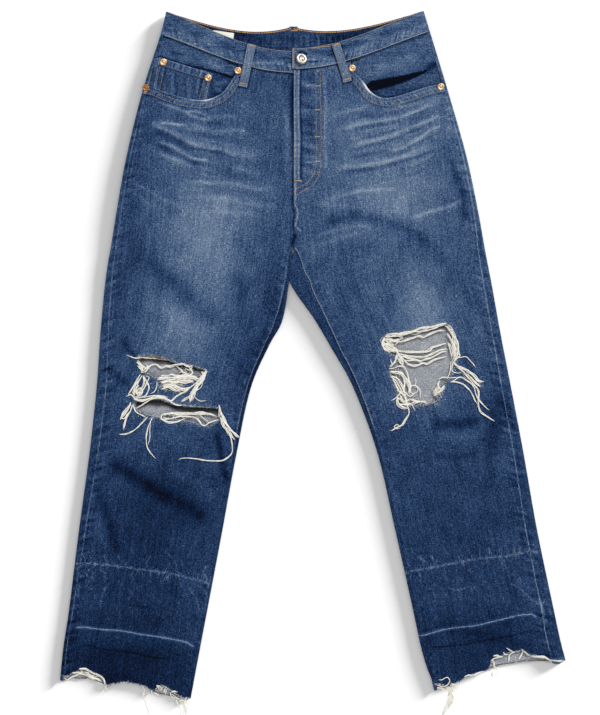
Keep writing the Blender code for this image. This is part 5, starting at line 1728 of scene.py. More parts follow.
def wrapped_object(name, side, s_rows, dip, layer):
    """A back or a yoke, with its torn edge moved onto the raw hem."""
    x, y, lift = back_grid(side, s_rows, dip)
    above = y - foot_height(side, x)
    y = y + (back_hem(side, x) - foot_height(side, x)) * fade(0, 45, above)
    z, wear = back_looks(side, x, y, lift)
    shade = np.maximum(hollow_shade(side, x, y), 0.75 * fade(0.8, 3.2, y - back_hem(side, x)))
    looks = {"wear": wear, "shade": shade, "grain": grain_of(side, x, y, layer)}
    return grid_object(name, np.stack([x, y, z], -1), side == "left", looks, rounding=0.0)


def make_back(side):
    def dip(share, s):
        fade = np.maximum(0.0, (YOKE_BLEND_END - s) / (YOKE_BLEND_END - YOKE_SIDE))
        return (yoke_seam(share) - YOKE_SIDE) * fade

    return wrapped_object(f"back_{side}", side, even_rows(side, YOKE_SIDE, HEM), dip, 2)


def make_yoke(side):
    rows = np.linspace(0, 1, 24)
    seam_gap = 0.004

    def dip(share, s):
        return s * (yoke_seam(share) - seam_gap) - s

    return wrapped_object(f"yoke_{side}", side, rows, dip, 3)


BAND_ROWS = 28
BAND_FOLD = 4.2             # radius across its fold at the sides
UNDERLAP_END = 16.0
OVERLAP_END = -29.0
BAND_MARKS = (
    # rumpled edge and the painted shadow in its hollow, then the buttonhole's slit in painted shade
    Mark(((-24, 434), (-19, 431), (-14, 431), (-9, 428), (-5, 430)), 2.0, 0.40, 0.4, 0.0),
    Mark(((-22, 427), (-16, 429), (-10, 427), (-6, 423)), 2.4, -0.75, -0.5, 0.0),
    Mark(((-9, 415), (0, 414), (9, 415)), 1.1, -0.70, -0.3, 0.0),
    Mark(((-8, 418), (1, 417), (10, 417)), 1.0, 0.16, 0.2, 0.5),
    Mark(((-8, 412), (1, 411.5), (10, 412)), 1.0, 0.16, 0.2, 0.5),
    Mark(((-102, 411), (-85, 412), (-62, 413), (-38, 414)), 2.4, 0.30, 0.4, 0.4),
    Mark(((-90, 407), (-70, 408), (-40, 408)), 2.2, -0.20, -0.3, 0.3),
    Mark(((-218, 462), (-190, 450), (-165, 441), (-140, 431)), 4.0, -0.10, -0.3, 0.3),
    Mark(((-210, 455), (-185, 444), (-160, 432), (-130, 422)), 3.4, 0.12, 0.3, 0.3),
    Mark(((44, 426), (70, 430), (95, 438), (125, 448)), 4.0, -0.12, -0.3, 0.4),
    Mark(((34, 434), (58, 440), (80, 445)), 3.0, -0.18, -0.3, 0.2),
)
BAND_PATCHES = (
    Patch(4, 430, 4, 17, 5, -0.26),       # painted shade in the hollow behind the button
    Patch(28, 424, 80, 10, 5, -0.20),
    Patch(22, 410, 5, 16, 3, 0.14),
    Patch(-70, 408, 0, 34, 4, 0.12),
    Patch(60, 432, 16, 20, 6, 0.10),
)


def band_looks(points, front):
    """The points with their relief, and wear with painted shade outside and inside; v runs from top edge to
    seam.
    """
    x, y, z = np.moveaxis(points, -1, 0)
    v = np.linspace(0, 1, points.shape[0])[:, None] + 0 * x
    height, marks = mark_sum(BAND_MARKS, x, y)
    edge = fade(0.0, 0.05, v)
    fold_line = bell(v, 0.10, 0.03)
    pucker = waver(x + 16 * v * np.sign(x - CENTRE_X), 7.5, 2.0) * (0.6 + 0.6 * waver(x, 41, 1.0))
    pucker = pucker * smooth(0.60, 0.80, v) * fade(0.90, 0.96, v)
    seam = smooth(0.955, 0.985, v)
    streaks = waver(150 * v + 0.05 * x, 9, 0.7) * waver(x - 30 * v, 47, 2.4)
    drift = 0.06 * waver(x + 20 * v, 75, 0.4) + 0.05 * waver(0.4 * x - 30 * v, 19, 1.4)
    drift = drift + 0.09 * streaks
    base = np.where(x < CENTRE_X, 0.62, 0.68) - 0.14 * smooth(0.2, 0.5, v) + 0.16 * smooth(0.60, 0.80, v)
    outer = base + 1.7 * drift + 0.36 * edge - 0.14 * fold_line + 0.42 * pucker - 0.30 * seam
    outer = outer + (marks + soft_sum(BAND_PATCHES, x, y) - 0.34 * loop_shade(x, y)) * front
    inner_pucker = waver(x, 8, 1.0) * smooth(0.30, 0.42, v) * (0.5 + 0.5 * bell(x, 20, 45))
    near_middle = fade(20, 70, np.abs(x - CENTRE_X))
    inner = 0.17 + drift + 0.14 * near_middle + 0.24 * inner_pucker - 0.12 * fade(0.03, 0.08, v)
    z = z + (0.30 * pucker + height - 0.12 * fold_line) * front + 0.25 * pucker * (front <= 0)
    return np.stack([x, y, z], -1), outer, inner


# Each end's top face out from the centre front: distances outward from x = 0, and heights there.
UNDERLAP_HEIGHTS = ([30, 42], [UNDERLAP_TOP, BAND_TOP])
OVERLAP_HEIGHTS = ([14, 26], [OVERLAP_TOP, BAND_TOP])


def make_waistband():
    """One band, from the underlap round the right side, the back and the left side."""
    middle = (BAND_TOP + SEAT_UNDER) / 2
    half = (BAND_TOP - SEAT_UNDER) / 2
    angles = np.radians(np.linspace(90, -90, 11))
    s = np.linspace(WAIST_TOP, -0.01, BAND_ROWS)[:, None]

    def half_band(side, start, heights):
        """From one side's end to its centre back; a point's last value is 1 on the front."""
        place = station(side, s)
        near_side = place.outer_x + INWARD[side] * 12
        shares = np.concatenate([np.linspace(0, 0.3, 44)[:-1], np.linspace(0.3, 1, 84)])
        x = mix(start, near_side, shares)
        z = np.interp(x * -INWARD[side], *heights)
        fx, fy = spot(side, place, (x - place.outer_x) * INWARD[side], 0.0)
        turn = BAND_FOLD * (1 - np.cos(angles)) + 0 * s
        lift = np.sin(angles) + 0 * s
        cx, cy = spot(side, place, turn, (1 - lift) / 2)
        bx = mix(near_side, CENTRE_X, np.linspace(0, 1, 60))
        bx, by = spot(side, place, (bx - place.outer_x) * INWARD[side], 1.0)
        front = np.stack([fx, fy, z, np.ones(fx.shape)], -1)
        fold = np.stack([cx, cy, middle + half * lift, lift], -1)
        back = np.stack([bx, by, np.full(bx.shape, SEAT_UNDER), np.zeros(bx.shape)], -1)
        return np.concatenate([front, fold, back], axis=1)

    right = half_band("right", UNDERLAP_END, UNDERLAP_HEIGHTS)
    left = half_band("left", OVERLAP_END, OVERLAP_HEIGHTS)
    centre = 0.5 * (right[:, -1:] + left[:, -1:])
    grid = np.concatenate([right[:, :-1], centre, left[:, -2::-1]], axis=1)
    points, outer, inner = band_looks(grid[..., :3], np.clip(grid[..., 3], 0, 1))
    x, y, _ = np.moveaxis(points, -1, 0)
    grain = np.stack([y, x, np.full(x.shape, 40.0)], -1)
    looks = {"wear": outer, "inside": inner, "grain": grain}
    return grid_object("waistband", points, False, looks, BAND_THICKNESS, 0.5, (DENIM, DENIM_INSIDE))


# The facings' openings, painted as black shadow: the pocket that gapes, and the shadow along the coin pocket.
SLIT = ((79, 380), (96, 383), (112, 386.5), (130, 391), (147, 396.5), (164, 402.5))
SLIT_HALF = 7.2
COIN_SHADOW = ((-217, 422), (-203, 418), (-188, 412), (-172, 408), (-153, 404), (-138, 400), (-124, 396),
               (-112, 393))
FACING_CREASES = {
    "right": (
        Crease(((-190, 425), (-165, 418), (-140, 410), (-125, 402)), 3.5, 0.4, 0.14),
        Crease(((-205, 430), (-175, 422), (-150, 414)), 2.6, -0.4, -0.14),
        Crease(((-140, 386), (-130, 384), (-121, 388)), 2.6, 0.5, 0.22),
        Crease(((-140, 378), (-134, 374), (-128, 376)), 2.4, 0.4, 0.18),
        Crease(((-244, 400), (-236, 408), (-228, 416)), 3.0, 0.4, 0.12),
        Crease(((-240, 392), (-233, 398), (-226, 404)), 3.0, -0.4, -0.12),
    ),
    "left": (
        Crease(((150, 420), (160, 424), (166, 430)), 4.0, -0.5, -0.15),
        Crease(((160, 412), (170, 409), (180, 406)), 4.0, -0.5, -0.16),
        Crease(((156, 400), (165, 405), (173, 411), (179, 419)), 4.4, -0.5, -0.26),
        Crease(((84, 404), (100, 408), (125, 414), (150, 424)), 6.0, 0.5, 0.12),
        Crease(((70, 402), (84, 396), (105, 398)), 4.0, 0.4, 0.12),
        Crease(((95, 440), (125, 446), (150, 452), (165, 456)), 4.0, -0.4, -0.14),
        Crease(((110, 378), (135, 384), (160, 392), (176, 396)), 5.0, 0.4, 0.10),
        Crease(((174, 430), (178, 416), (184, 402)), 3.5, 0.4, 0.20),
    ),
}


def facing_looks(side, x, y):
    """Height, and wear with painted shade, of a facing: its creases, the painted shade at its edges and the
    painted black shadow of its opening.
    """
    height, wear = crease_sum(FACING_CREASES[side], x, y)
    wear = wear - 0.24 * fade(0.5, 3, below_waist(x, y)) + 0.06 * waver(x + 0.6 * y, 23, 1.0)
    wear = wear - 0.2 * loop_shade(x, y)
    # painted shade where the facing passes under the front at the mouth
    deep = fade(-2, 6, mouth_height(side, x, y))
    if side == "right":
        off, at, total = trace(rounded(COIN_SHADOW, 5.0), x, y)
        reach = mix(0.9, 1.9, at / total)
        dark = fade(0.7 * reach, 1.3 * reach, np.abs(off))
        beside_coin = smooth(-150, -142, x) * (off < 0)
        wear = mix(0.49 + 1.3 * wear - 0.20 * beside_coin - 0.2 * deep, -0.1, dark)
        return height - 0.3 * dark, wear
    off, at, total = trace(rounded(SLIT, 4.0), x, y)
    reach = SLIT_HALF * (1 - 0.86 * (at / total) ** 1.7) * smooth(-6, 6, at)
    dark = fade(0.72 * reach, 1.10 * reach + 0.9, np.abs(off)) * fade(total - 5, total, at)
    lower = smooth(0, 3, -off) * (y < 402) * (1 - 0.55 * smooth(120, 175, x))
    bulge = bell(off, 16, 14)
    wear = mix(0.55 + 1.1 * wear - 0.25 * lower - 0.16 * deep, -0.2, dark)
    return height - 0.5 * dark + 0.7 * bulge, wear


def facing_top(side, x, y):
    """Top of a facing: it drops away to pass under the front."""
    return level(y, 1) - FACING_DROP * fade(*FACING_SLOPE, mouth_height(side, x, y))


def make_facing(side):
    """Pocket facing: seen above the mouth, and tucked under the front below it."""
    rows, columns = {"right": (62, 84), "left": (76, 104)}[side]
    s = np.linspace(0.0, 1.14, rows)[:, None]
    place = station(side, s)
    start = mix(place.outseam + GAP / 2, 5.6, smooth(0.3, 0.9, s))
    end = (FACING_INNER_X[side] - place.outer_x) * INWARD[side]
    distance = mix(start, end, np.linspace(0, 1, columns))
    x, y = spot(side, place, distance)
    height, wear = facing_looks(side, x, y)
    height = height * smooth(0, 6, mouth_height(side, x, y)) * smooth(0, 5, below_waist(x, y))
    z = facing_top(side, x, y) + height
    grain = grain_of(side, x, y, 5)[..., [1, 0, 2]]      # cut across the cloth
    looks = {"wear": wear, "grain": grain}
    return grid_object(f"pocket_facing_{side}", np.stack([x, y, z], -1), side == "right", looks)


COIN_DEPTH = 60.0
COIN_WIDTH = 79.0
COIN_HEM = 9.6          # depth of the coin pocket's hem


def coin_plan(down, along):
    """Place on the coin pocket; down and along run from 0 to 1."""
    top_side, top_front, foot_front, foot_side = (np.array(p, float) for p in COIN_POCKET)
    down, along = np.asarray(down, float)[..., None], np.asarray(along, float)[..., None]
    return mix(mix(top_side, foot_side, down), mix(top_front, foot_front, down), along)


def coin_height(x, y):
    """Top of the coin pocket: clear of the facing's highest places nearby."""
    reach = (-5.0, 0.0, 5.0)
    return np.max([facing_top("right", x + i, y + j) for i in reach for j in reach], axis=0) + CLOTH + GAP


def make_coin_pocket():
    down, along = np.meshgrid(np.linspace(0, 1, 64), np.linspace(0, 1, 76), indexing="ij")
    x, y = np.moveaxis(coin_plan(down, along), -1, 0)
    depth = down * COIN_DEPTH
    across = along * COIN_WIDTH
    side_edge = np.minimum(across, COIN_WIDTH - across)
    hem = fade(COIN_HEM - 1.5, COIN_HEM + 0.5, depth)
    puckers = waver(across, 9, 1.0)
    ripples = waver(across + 3 * np.sin(depth / 9), 13, 2.0) * smooth(8, 20, depth)
    hem_line = bell(depth, COIN_HEM + 1.2, 1.1)
    edge = fade(0.3, 2.2, np.minimum(side_edge, depth))
    groove = bell(side_edge, 12, 1.6) * (1 - hem)
    wear = 0.42 + 0.34 * hem * puckers + 0.12 * hem + 0.17 * ripples + 0.06 * smooth(20, 40, depth)
    # painted shade in the groove beyond the side rows and in a line below the hem's row
    wear = wear + 0.40 * edge - 0.24 * groove - 0.16 * hem_line
    height = 0.35 * hem * puckers + 0.35 * ripples - 0.3 * groove
    z = coin_height(x, y) + np.maximum(height, -0.1)
    looks = {"wear": wear, "grain": grain_of("right", x, y, 6)}
    return grid_object("coin_pocket", np.stack([x, y, z], -1), True, looks)


LOOP_COLUMNS = 15
LOOP_ROUND = 0.25       # how far a loop's edges turn down


def front_loop_line(upper, lower):
    """The middle of a front loop, on its top face: over the band, and the front below it."""
    t = np.linspace(0, 1, 60)
    plan = mix(np.array(upper, float), np.array(lower, float), t[:, None])
    crown = LOOP_CROWN * np.sin(math.pi * np.clip((t - 0.08) / 0.84, 0, 1)) ** 0.7
    seat = np.where(below_waist(*plan.T) < 3, BAND_TOP, SEAT_TOP)
    z = np.convolve(np.pad(seat, 6, mode="edge"), np.ones(13) / 13, mode="valid")
    return np.column_stack([plan, np.maximum(z, seat) + GAP + LOOP_THICKNESS + crown])


def make_front_loop(name, upper, lower):
    """A loop on the front: a strap with worn edges and two ridges."""
    line = front_loop_line(upper, lower)
    offsets = np.linspace(-0.5, 0.5, LOOP_COLUMNS)[:, None] * LOOP_WIDTH
    plan = line[:, None, :2] + left_of(line[:, :2])[:, None] * offsets
    z = line[:, None, 2:] - LOOP_ROUND * (np.abs(offsets) / (LOOP_WIDTH / 2)) ** 4
    x, y = np.moveaxis(plan, -1, 0)
    at = np.linspace(0, 1, len(line))[:, None] * np.linalg.norm(np.subtract(upper, lower)) + 0 * x
    off = np.abs(offsets[:, 0]) + 0 * x
    seed = line[0, 0]
    edge = smooth(4.9, 5.7, off) * (0.75 + 0.35 * waver(at, 9, seed))
    ridges = bell(off, 2.2, 0.9) * (0.5 + 0.4 * waver(at, 13, seed + 1))
    end = fade(1.5, 7, np.minimum(at, at[-1] - at))
    low = smooth(0.55, 0.95, at / at[-1])
    # painted shade along the rows of stitches and towards the lower end
    wear = 0.84 + 0.36 * edge + 0.14 * ridges - 0.20 * bell(off, 4.2, 0.7) - 0.12 * low + 0.20 * end
    looks = {"wear": wear, "grain": grain_of("right", x, y, 8)}
    return grid_object(name, np.concatenate([plan, z], -1), True, looks, LOOP_THICKNESS, 0.4, (DENIM, DENIM))


PLATE_ROUNDING = 0.25


def plate_object(name, outline, low, high, wear, layer, material=DENIM):
    """A flat piece: its outline filled with triangles, evenly worn, with a paler edge."""
    edges = straight(np.vstack([outline, outline[:1]]), EDGE_STEP)[:-1]
    plan, faces, edge = panel_mesh(edges, [], lambda x, y: np.zeros(x.shape, bool))
    looks = {"wear": wear + 0.22 * fade(0, 2.5, edge), "grain": grain_of("right", *plan.T, layer)}
    thing = mesh_object(name, at_level(plan, high), faces, looks, (material, material))
    return thicken(thing, high - low, PLATE_ROUNDING)


def fly_outline(inner_x, outer_x, top_y):
    """A strip whose foot sweeps in a quarter curve back to the centre front."""
    angles = np.radians(np.linspace(15, 90, 6))
    foot_x = inner_x + (outer_x - inner_x) * np.sin(angles)
    foot_y = FLY_FOOT_Y + 40 * (1 - np.cos(angles))
    foot = list(zip(foot_x, foot_y))
    return [(inner_x, top_y), (inner_x, FLY_FOOT_Y)] + foot + [(outer_x, top_y)]


FACING_TOP_Y = 397.0
SHIELD_TOP_Y = 394.0
SHIELD_REACH = 18.0     # how far the shield reaches past the centre front


def make_fly():
    facing_low = SEAT_TOP - CLOTH
    outline = fly_outline(CENTRE_X + 0.5, CENTRE_X + FLY_WIDTH - 1.0, FACING_TOP_Y)
    facing = plate_object("fly_facing", outline, facing_low, SEAT_TOP, 0.45, 9)
    high = facing_low - GAP
    outline = fly_outline(CENTRE_X - SHIELD_REACH, CENTRE_X + FLY_WIDTH, SHIELD_TOP_Y)
    return [facing, plate_object("fly_shield", outline, high - CLOTH, high, 0.3, 10)]


def back_pocket_outline(side):
    """Corners of a back pocket in plan."""
    middle = CENTRE_X - INWARD[side] * BACK_POCKET_OFFSET
    return np.array([(middle + x, y) for x, y in BACK_POCKET])


def make_back_pocket(side):
    return plate_object(f"back_pocket_{side}", back_pocket_outline(side), 0.0, SEAT_UNDER - GAP, 0.46, 11)


def make_back_loop(name, upper, lower):
    run = np.subtract(lower, upper) / np.linalg.norm(np.subtract(lower, upper))
    across = np.array([-run[1], run[0]]) * LOOP_WIDTH / 2
    outline = [upper - across, upper + across, lower + across, lower - across]
    return plate_object(name, outline, 0.0, SEAT_UNDER - GAP, 0.55, 12)


def make_label():
    """The blank label inside the back of the waistband."""
    w, h = LABEL_SIZE[0] / 2, LABEL_SIZE[1] / 2
    corners = ((-w, -h), (w, -h), (w, h), (-w, h))
    outline = [np.add(LABEL_CENTRE, turned(*corner, LABEL_TURN)) for corner in corners]
    low = SEAT_UNDER + BAND_THICKNESS + GAP
    return plate_object("label", outline, low, low + LABEL_THICKNESS, 1.0, 13, COTTON_LABEL)


# ================================================================ threads, stitches and metal
YARN_EDGE = 0.22        # shade at a yarn's sides


class Tubes:
    """Many round yarns or stitches, joined into one mesh."""

    def __init__(self, sides=5):
        angles = np.arange(sides) * math.tau / sides
        self.ring = np.column_stack([np.cos(angles), np.sin(angles)])
        self.vertices = []
        self.faces = []
        self.shade = []
        self.count = 0

    def add(self, points, radii, shade=0.0):
        """points is (tubes, n, 3) in mm, radii is (n) or (tubes, n); shade is one for each tube."""
        if not len(points):
            return
        many, n, _ = points.shape
        sides = len(self.ring)
        run = np.gradient(points, axis=1)
        run /= np.linalg.norm(run, axis=2, keepdims=True) + 1e-9
        side = np.cross(run, (0.0, 0.0, 1.0))
        side /= np.linalg.norm(side, axis=2, keepdims=True) + 1e-9
        up = np.cross(side, run)
        radii = np.broadcast_to(radii, (many, n))[:, :, None, None]
        shape = self.ring[:, :1] * side[:, :, None] + self.ring[:, 1:] * up[:, :, None]
        self.vertices.append((points[:, :, None] + radii * shape).reshape(-1, 3))
        shade = np.broadcast_to(shade, many)[:, None, None] + YARN_EDGE * (1 - np.maximum(self.ring[:, 1], 0))
        self.shade.append(np.broadcast_to(shade, (many, n, sides)).reshape(-1))
        index = self.count + np.arange(many * n * sides).reshape(many, n, sides)
        following = np.roll(index, -1, axis=2)
        quads = [index[:, :-1], index[:, 1:], following[:, 1:], following[:, :-1]]
        self.faces += np.stack(quads, -1).reshape(-1, 4).tolist()
        self.faces += index[:, 0].tolist() + index[:, -1, ::-1].tolist()
        self.count += many * n * sides

    def piece(self, name, material):
        looks = {"shade": np.concatenate(self.shade)}
        return mesh_object(name, np.vstack(self.vertices), self.faces, looks, (material,))


YARN_RADIUS = 0.62
WISP_RADIUS = 0.30
FIBRE_RADII = 0.24 * np.array([1.05, 0.9, 0.4])
RIP_SAG = 1.5
# Seeds of each side's random draws.
STRAND_SEED = {"right": 5, "left": 7}
FRINGE_SEED = {"right": 9, "left": 13}
RIP_EDGE_SEED = {"right": 17, "left": 19}
SCRATCH_SEED = {"right": 61, "left": 62}


def thread_bed(side, x, y):
    """Where threads lie: on the front, sunk a little over the rips, and down past the raw hem."""
    bed = front_heights(side, x, y) + 0.3
    for rip in RIPS[side]:
        loop = np.array(rip, float)
        bed = bed - RIP_SAG * inside(loop, x, y) * smooth(0, 7, edge_distance([loop], x, y))
    bed = mix(bed, 2.0, smooth(0, 5, front_hem(side, x) - y))
    return mix(bed, 0.6, smooth(0, 9, back_hem(side, x) - y))


def lay_strand(tubes, side, strand, draw):
    """One bundle: its yarns twist round each other a little and end unevenly."""
    line = rounded(strand.points, 2.6)
    along = lengths_along(line)
    across = left_of(line)
    total = along[-1]
    pinch = 0.45 + 0.55 * np.sin(math.pi * np.clip(along / total, 0, 1))
    yarns, radii = [], []
    wisps = strand.yarns // 2
    for k in range(strand.yarns + wisps):
        wisp = k >= strand.yarns
        place = (k % strand.yarns + 0.5) / strand.yarns - 0.5
        sway = (0.65 if wisp else 0.42) * waver(along, draw.uniform(24, 42), draw.uniform(0, 9))
        kink = (0.5 if wisp else 0.22) * waver(along, draw.uniform(5, 8), draw.uniform(0, 9))
        off = strand.spread * (place + sway) * pinch + kink
        lift = 0.35 + 0.75 * (1 + waver(along, draw.uniform(16, 30), draw.uniform(0, 9)))
        start, end = draw.uniform(0, 0.05), 1 - draw.uniform(0, 0.07)
        share = np.linspace(start, end, len(line)) * total
        plan = line + across * off[:, None]
        z = thread_bed(side, plan[:, 0], plan[:, 1]) + lift
        yarns.append(np.column_stack([np.interp(share, along, v) for v in (plan[:, 0], plan[:, 1], z)]))
        taper = 0.35 + 0.65 * smooth(0, 3.5, share - share[0]) * smooth(0, 5, share[-1] - share)
        radius = WISP_RADIUS if wisp else YARN_RADIUS
        radii.append(radius * draw.uniform(0.85, 1.15) * taper * (1 + 0.12 * waver(along, 7, k)))
    tubes.add(np.array(yarns), np.array(radii), draw.permutation(np.linspace(0, 0.22, len(yarns))) ** 1.3)


# Loose short fibres: middle, heading of the patch and of its fibres, half length, half width, how many.
Fuzz = namedtuple("Fuzz", "x y heading length width fibres count yarn")
FUZZ = {
    "right": (
        Fuzz(-199, -44, -5, 18, 7, 0, 200, "white"),         # dense patch in the upper rip
        Fuzz(-250, -57, 10, 9, 9, 60, 70, "white"),         # tangle at its side
        Fuzz(-181, -25, -10, 9, 6, 0, 40, "white"),
        Fuzz(-172, -66, -6, 26, 5, 100, 70, "blue"),
        Fuzz(-160, -98, 4, 24, 5, 90, 60, "blue"),
        Fuzz(-214, -2, 2, 30, 3, 100, 60, "blue"),
        Fuzz(-176, -12, -20, 18, 3, 100, 40, "blue"),
        Fuzz(-215, -29, 0, 22, 6, 0, 50, "blue"),
        Fuzz(-190, -90, 0, 55, 4, 0, 60, "white"),
    ),
    "left": (
        Fuzz(178, -54, -40, 9, 5, 20, 80, "white"),         # tufts at the lower corner
        Fuzz(156, -68, 0, 17, 4, 10, 70, "white"),
        Fuzz(132, -62, 70, 8, 6, 60, 60, "white"),
        Fuzz(120, -35, 90, 16, 4, 60, 36, "white"),
        Fuzz(110, 12, 90, 12, 4, 20, 30, "white"),
        Fuzz(200, 0, 90, 24, 3, 90, 40, "white"),
        Fuzz(140, 33, 8, 40, 3, 90, 70, "blue"),
        Fuzz(108, 26, 8, 14, 4, 90, 40, "blue"),
        Fuzz(155, -77, 0, 34, 3, 90, 60, "blue"),
        Fuzz(226, -36, -35, 16, 4, 60, 40, "white"),
    ),
}


def add_fibres(tubes, x, y, heading, bend, start, length, lift, arch, bed):
    """Short curved fibres, each from a start to start + length away from its root at x and y."""
    t = np.linspace(0, 1, len(FIBRE_RADII))
    turn = heading[:, None] + bend[:, None] * t
    out = start[:, None] + length[:, None] * t
    x, y = x[:, None] + out * np.cos(turn), y[:, None] + out * np.sin(turn)
    z = bed(x, y) + lift[:, None] + arch * np.sin(math.pi * t)
    tubes.add(np.stack([x, y, z], -1), FIBRE_RADII)


def lay_fuzz(tubes, side, fuzz, draw):
    """Fibres scattered over an oval."""
    count = fuzz.count
    along, across = draw.normal(0, 0.55, (2, count)) * [[fuzz.length], [fuzz.width]]
    x, y = turned(along, across, fuzz.heading)
    heading = np.radians(fuzz.fibres + draw.normal(0, 38, count)) + math.pi * draw.integers(0, 2, count)
    length = draw.uniform(1.8, 5.0, count)
    bend = draw.normal(0, 0.7, count)
    lift = draw.uniform(0.0, 0.9, count)
    add_fibres(tubes, fuzz.x + x, fuzz.y + y, heading, bend, np.zeros(count), length, lift, 0.5,
               partial(thread_bed, side))


def make_rip_threads(side):
    """The strands and fuzz of one leg's rips, in a piece for each kind of yarn."""
    draw = np.random.default_rng(STRAND_SEED[side])
    yarns = {"white": Tubes(), "tan": Tubes()}
    for strand in RIP_STRANDS[side]:
        lay_strand(yarns[strand.yarn], side, strand, draw)
    fibres = {"white": Tubes(3), "blue": Tubes(3)}
    for fuzz in FUZZ[side]:
        lay_fuzz(fibres[fuzz.yarn], side, fuzz, draw)
    pieces = [yarns["white"].piece(f"rip_threads_{side}", YARNS["white"])]
    if yarns["tan"].count:
        pieces.append(yarns["tan"].piece(f"rip_threads_{side}_tan", YARNS["tan"]))
    pieces += [made.piece(f"rip_fibres_{side}_{colour}", YARNS[colour]) for colour, made in fibres.items()]
    return pieces


def edge_fibres(tubes, line, per_mm, heading, reach, draw, bed):
    """Fibres that stick out along a torn edge, heading degrees from its run."""
    along = lengths_along(line)
    count = int(along[-1] * per_mm)
    place = draw.uniform(0, along[-1], count)
    x, y = (np.interp(place, along, line[:, k]) for k in (0, 1))
    run = np.gradient(line, axis=0)
    turn = np.arctan2(np.interp(place, along, run[:, 1]), np.interp(place, along, run[:, 0]))
    turn = turn + np.radians(heading + draw.normal(0, 34, count))
    length = draw.uniform(*reach, count)
    bend = draw.normal(0, 0.8, count)
    start = draw.uniform(-1.2, 0.4, count)
    lift = draw.uniform(-0.3, 0.5, count)
    add_fibres(tubes, x, y, turn, bend, start, length, lift, 0.3, bed)


def make_hem_fringe(side):
    """The long threads and short fibres of one raw hem."""
    draw = np.random.default_rng(FRINGE_SEED[side])
    yarns = Tubes()
    for strand in HEM_STRANDS:
        if (strand.points[0][0] < CENTRE_X) == (side == "right"):
            lay_strand(yarns, side, strand, draw)
    foot = foot_line(side)[:, 0]
    x = np.arange(foot.min() + 2, foot.max() - 2, 1.5)
    front_edge = np.column_stack([x, front_hem(side, x)])
    back_edge = np.column_stack([x, back_hem(side, x)])
    fibres = {"white": Tubes(3), "blue": Tubes(3)}
    for colour, edge, per_mm, reach, bed in (
            ("white", front_edge, 0.9, (1.2, 4.2), partial(thread_bed, side)),
            ("blue", front_edge, 1.0, (1.0, 3.2), partial(thread_bed, side)),
            ("white", back_edge, 1.3, (1.0, 3.8), lambda x, y: np.full(x.shape, 0.7))):
        edge_fibres(fibres[colour], edge, per_mm, -90, reach, draw, bed)
    return [yarns.piece(f"hem_threads_{side}", YARNS["white"]),
            *(made.piece(f"hem_fibres_{side}_{colour}", YARNS[colour]) for colour, made in fibres.items())]


def make_rip_edges(side):
    """Short fibres on both sides of the rips' torn edges."""
    draw = np.random.default_rng(RIP_EDGE_SEED[side])
    fibres = {"white": Tubes(3), "blue": Tubes(3)}
    for rip in RIPS[side]:
        loop = straight(np.vstack([rip, rip[:1]]), 3.0)
        for colour, per_mm, heading, reach in (("white", 0.7, 90, (1.0, 3.6)), ("blue", 1.0, 90, (0.8, 2.8)),
                                               ("blue", 0.5, -90, (0.8, 2.2))):
            edge_fibres(fibres[colour], loop, per_mm, heading, reach, draw, partial(thread_bed, side))
    return [made.piece(f"rip_edge_{side}_{colour}", YARNS[colour]) for colour, made in fibres.items()]


# ---------------------------------------------------------------- stitches
STITCH_RADIUS = 0.42
STITCH_ENDS = np.array([-0.5, -0.24, 0.24, 0.5])
STITCH_SHAPE = np.array([0.55, 1.0, 1.0, 0.55])
STITCH_RISE = np.array([-0.30, 0.20, 0.20, -0.30])
DASH_ENDS = np.linspace(-0.5, 0.5, 7)
DASH_SHAPE = np.array([0.35, 0.8, 1.0, 0.9, 1.0, 0.8, 0.35])


def points_at(line, along, at):
    """The points of a line (n, 3) at some lengths along it."""
    return np.stack([np.interp(at, along, column) for column in line.T], -1)


class Stitching:
    """Rows of stitches on one group of seams, joined into one piece for each colour of thread."""

    def __init__(self, name):
        self.name = name
        self.tubes = {}
        self.draw = np.random.default_rng(len(name))

    def add(self, yarn, *stitches):
        self.tubes.setdefault(yarn, Tubes(4)).add(*stitches)

    def row(self, yarn, line, pitch, length, radius, up=1.0):
        """A row along a line of points (n, 3) in mm; up is -1 on the underside."""
        along = lengths_along(line)
        count = int(along[-1] / pitch)
        middle = (np.arange(count) + 0.5) * pitch + self.draw.normal(0, 0.16, count)
        points = points_at(line, along, middle[:, None] + STITCH_ENDS * length)
        points[..., 2] += up * STITCH_RISE * radius / STITCH_RADIUS
        self.add(yarn, points, STITCH_SHAPE * radius)

    def dashes(self, yarn, line, gap, length, radius, shade=(0.1, 0.5)):
        """Uneven worn dashes along a line; each gap and length is drawn between two bounds."""
        along = lengths_along(line)
        count = int(along[-1] / (gap[0] + length[0])) + 1
        gaps, lengths = self.draw.uniform(*gap, count), self.draw.uniform(*length, count)
        ends = np.cumsum(gaps + lengths)
        kept = ends < along[-1]
        middle, lengths = (ends - 0.5 * lengths)[kept], lengths[kept]
        points = points_at(line, along, middle[:, None] + DASH_ENDS * lengths[:, None])
        radii = DASH_SHAPE * radius * self.draw.uniform(0.7, 1.15, (len(middle), 1))
        points[..., 2] -= 0.35 * radii
        self.add(yarn, points, radii, self.draw.uniform(*shade, len(middle)))

    def bartack(self, yarn, middle, heading, length, width, up=1.0):
        """A bar of close stitches: heading is its run, width its stitches' length."""
        count = max(int(length / 0.85), 3)
        along = np.linspace(-0.5, 0.5, count)[:, None] * length + STITCH_ENDS * 0.5
        across = STITCH_ENDS * width * np.where(np.arange(count) % 2, 1, -1)[:, None]
        x, y = turned(along, across, heading)
        z = up * (STITCH_RISE + 0.35) + 0 * x
        self.add(yarn, np.stack([x, y, z], -1) + middle, STITCH_SHAPE * 0.5)

    def pieces(self):
        return [tubes.piece(f"stitching_{self.name}_{yarn}", YARNS[yarn])
                for yarn, tubes in self.tubes.items()]


def on_front(side, line):
    """A line of plan points, raised to the front's surface."""
    x, y = np.asarray(line, float).T[:2]
    return np.column_stack([x, y, front_heights(side, x, y) + 0.05])


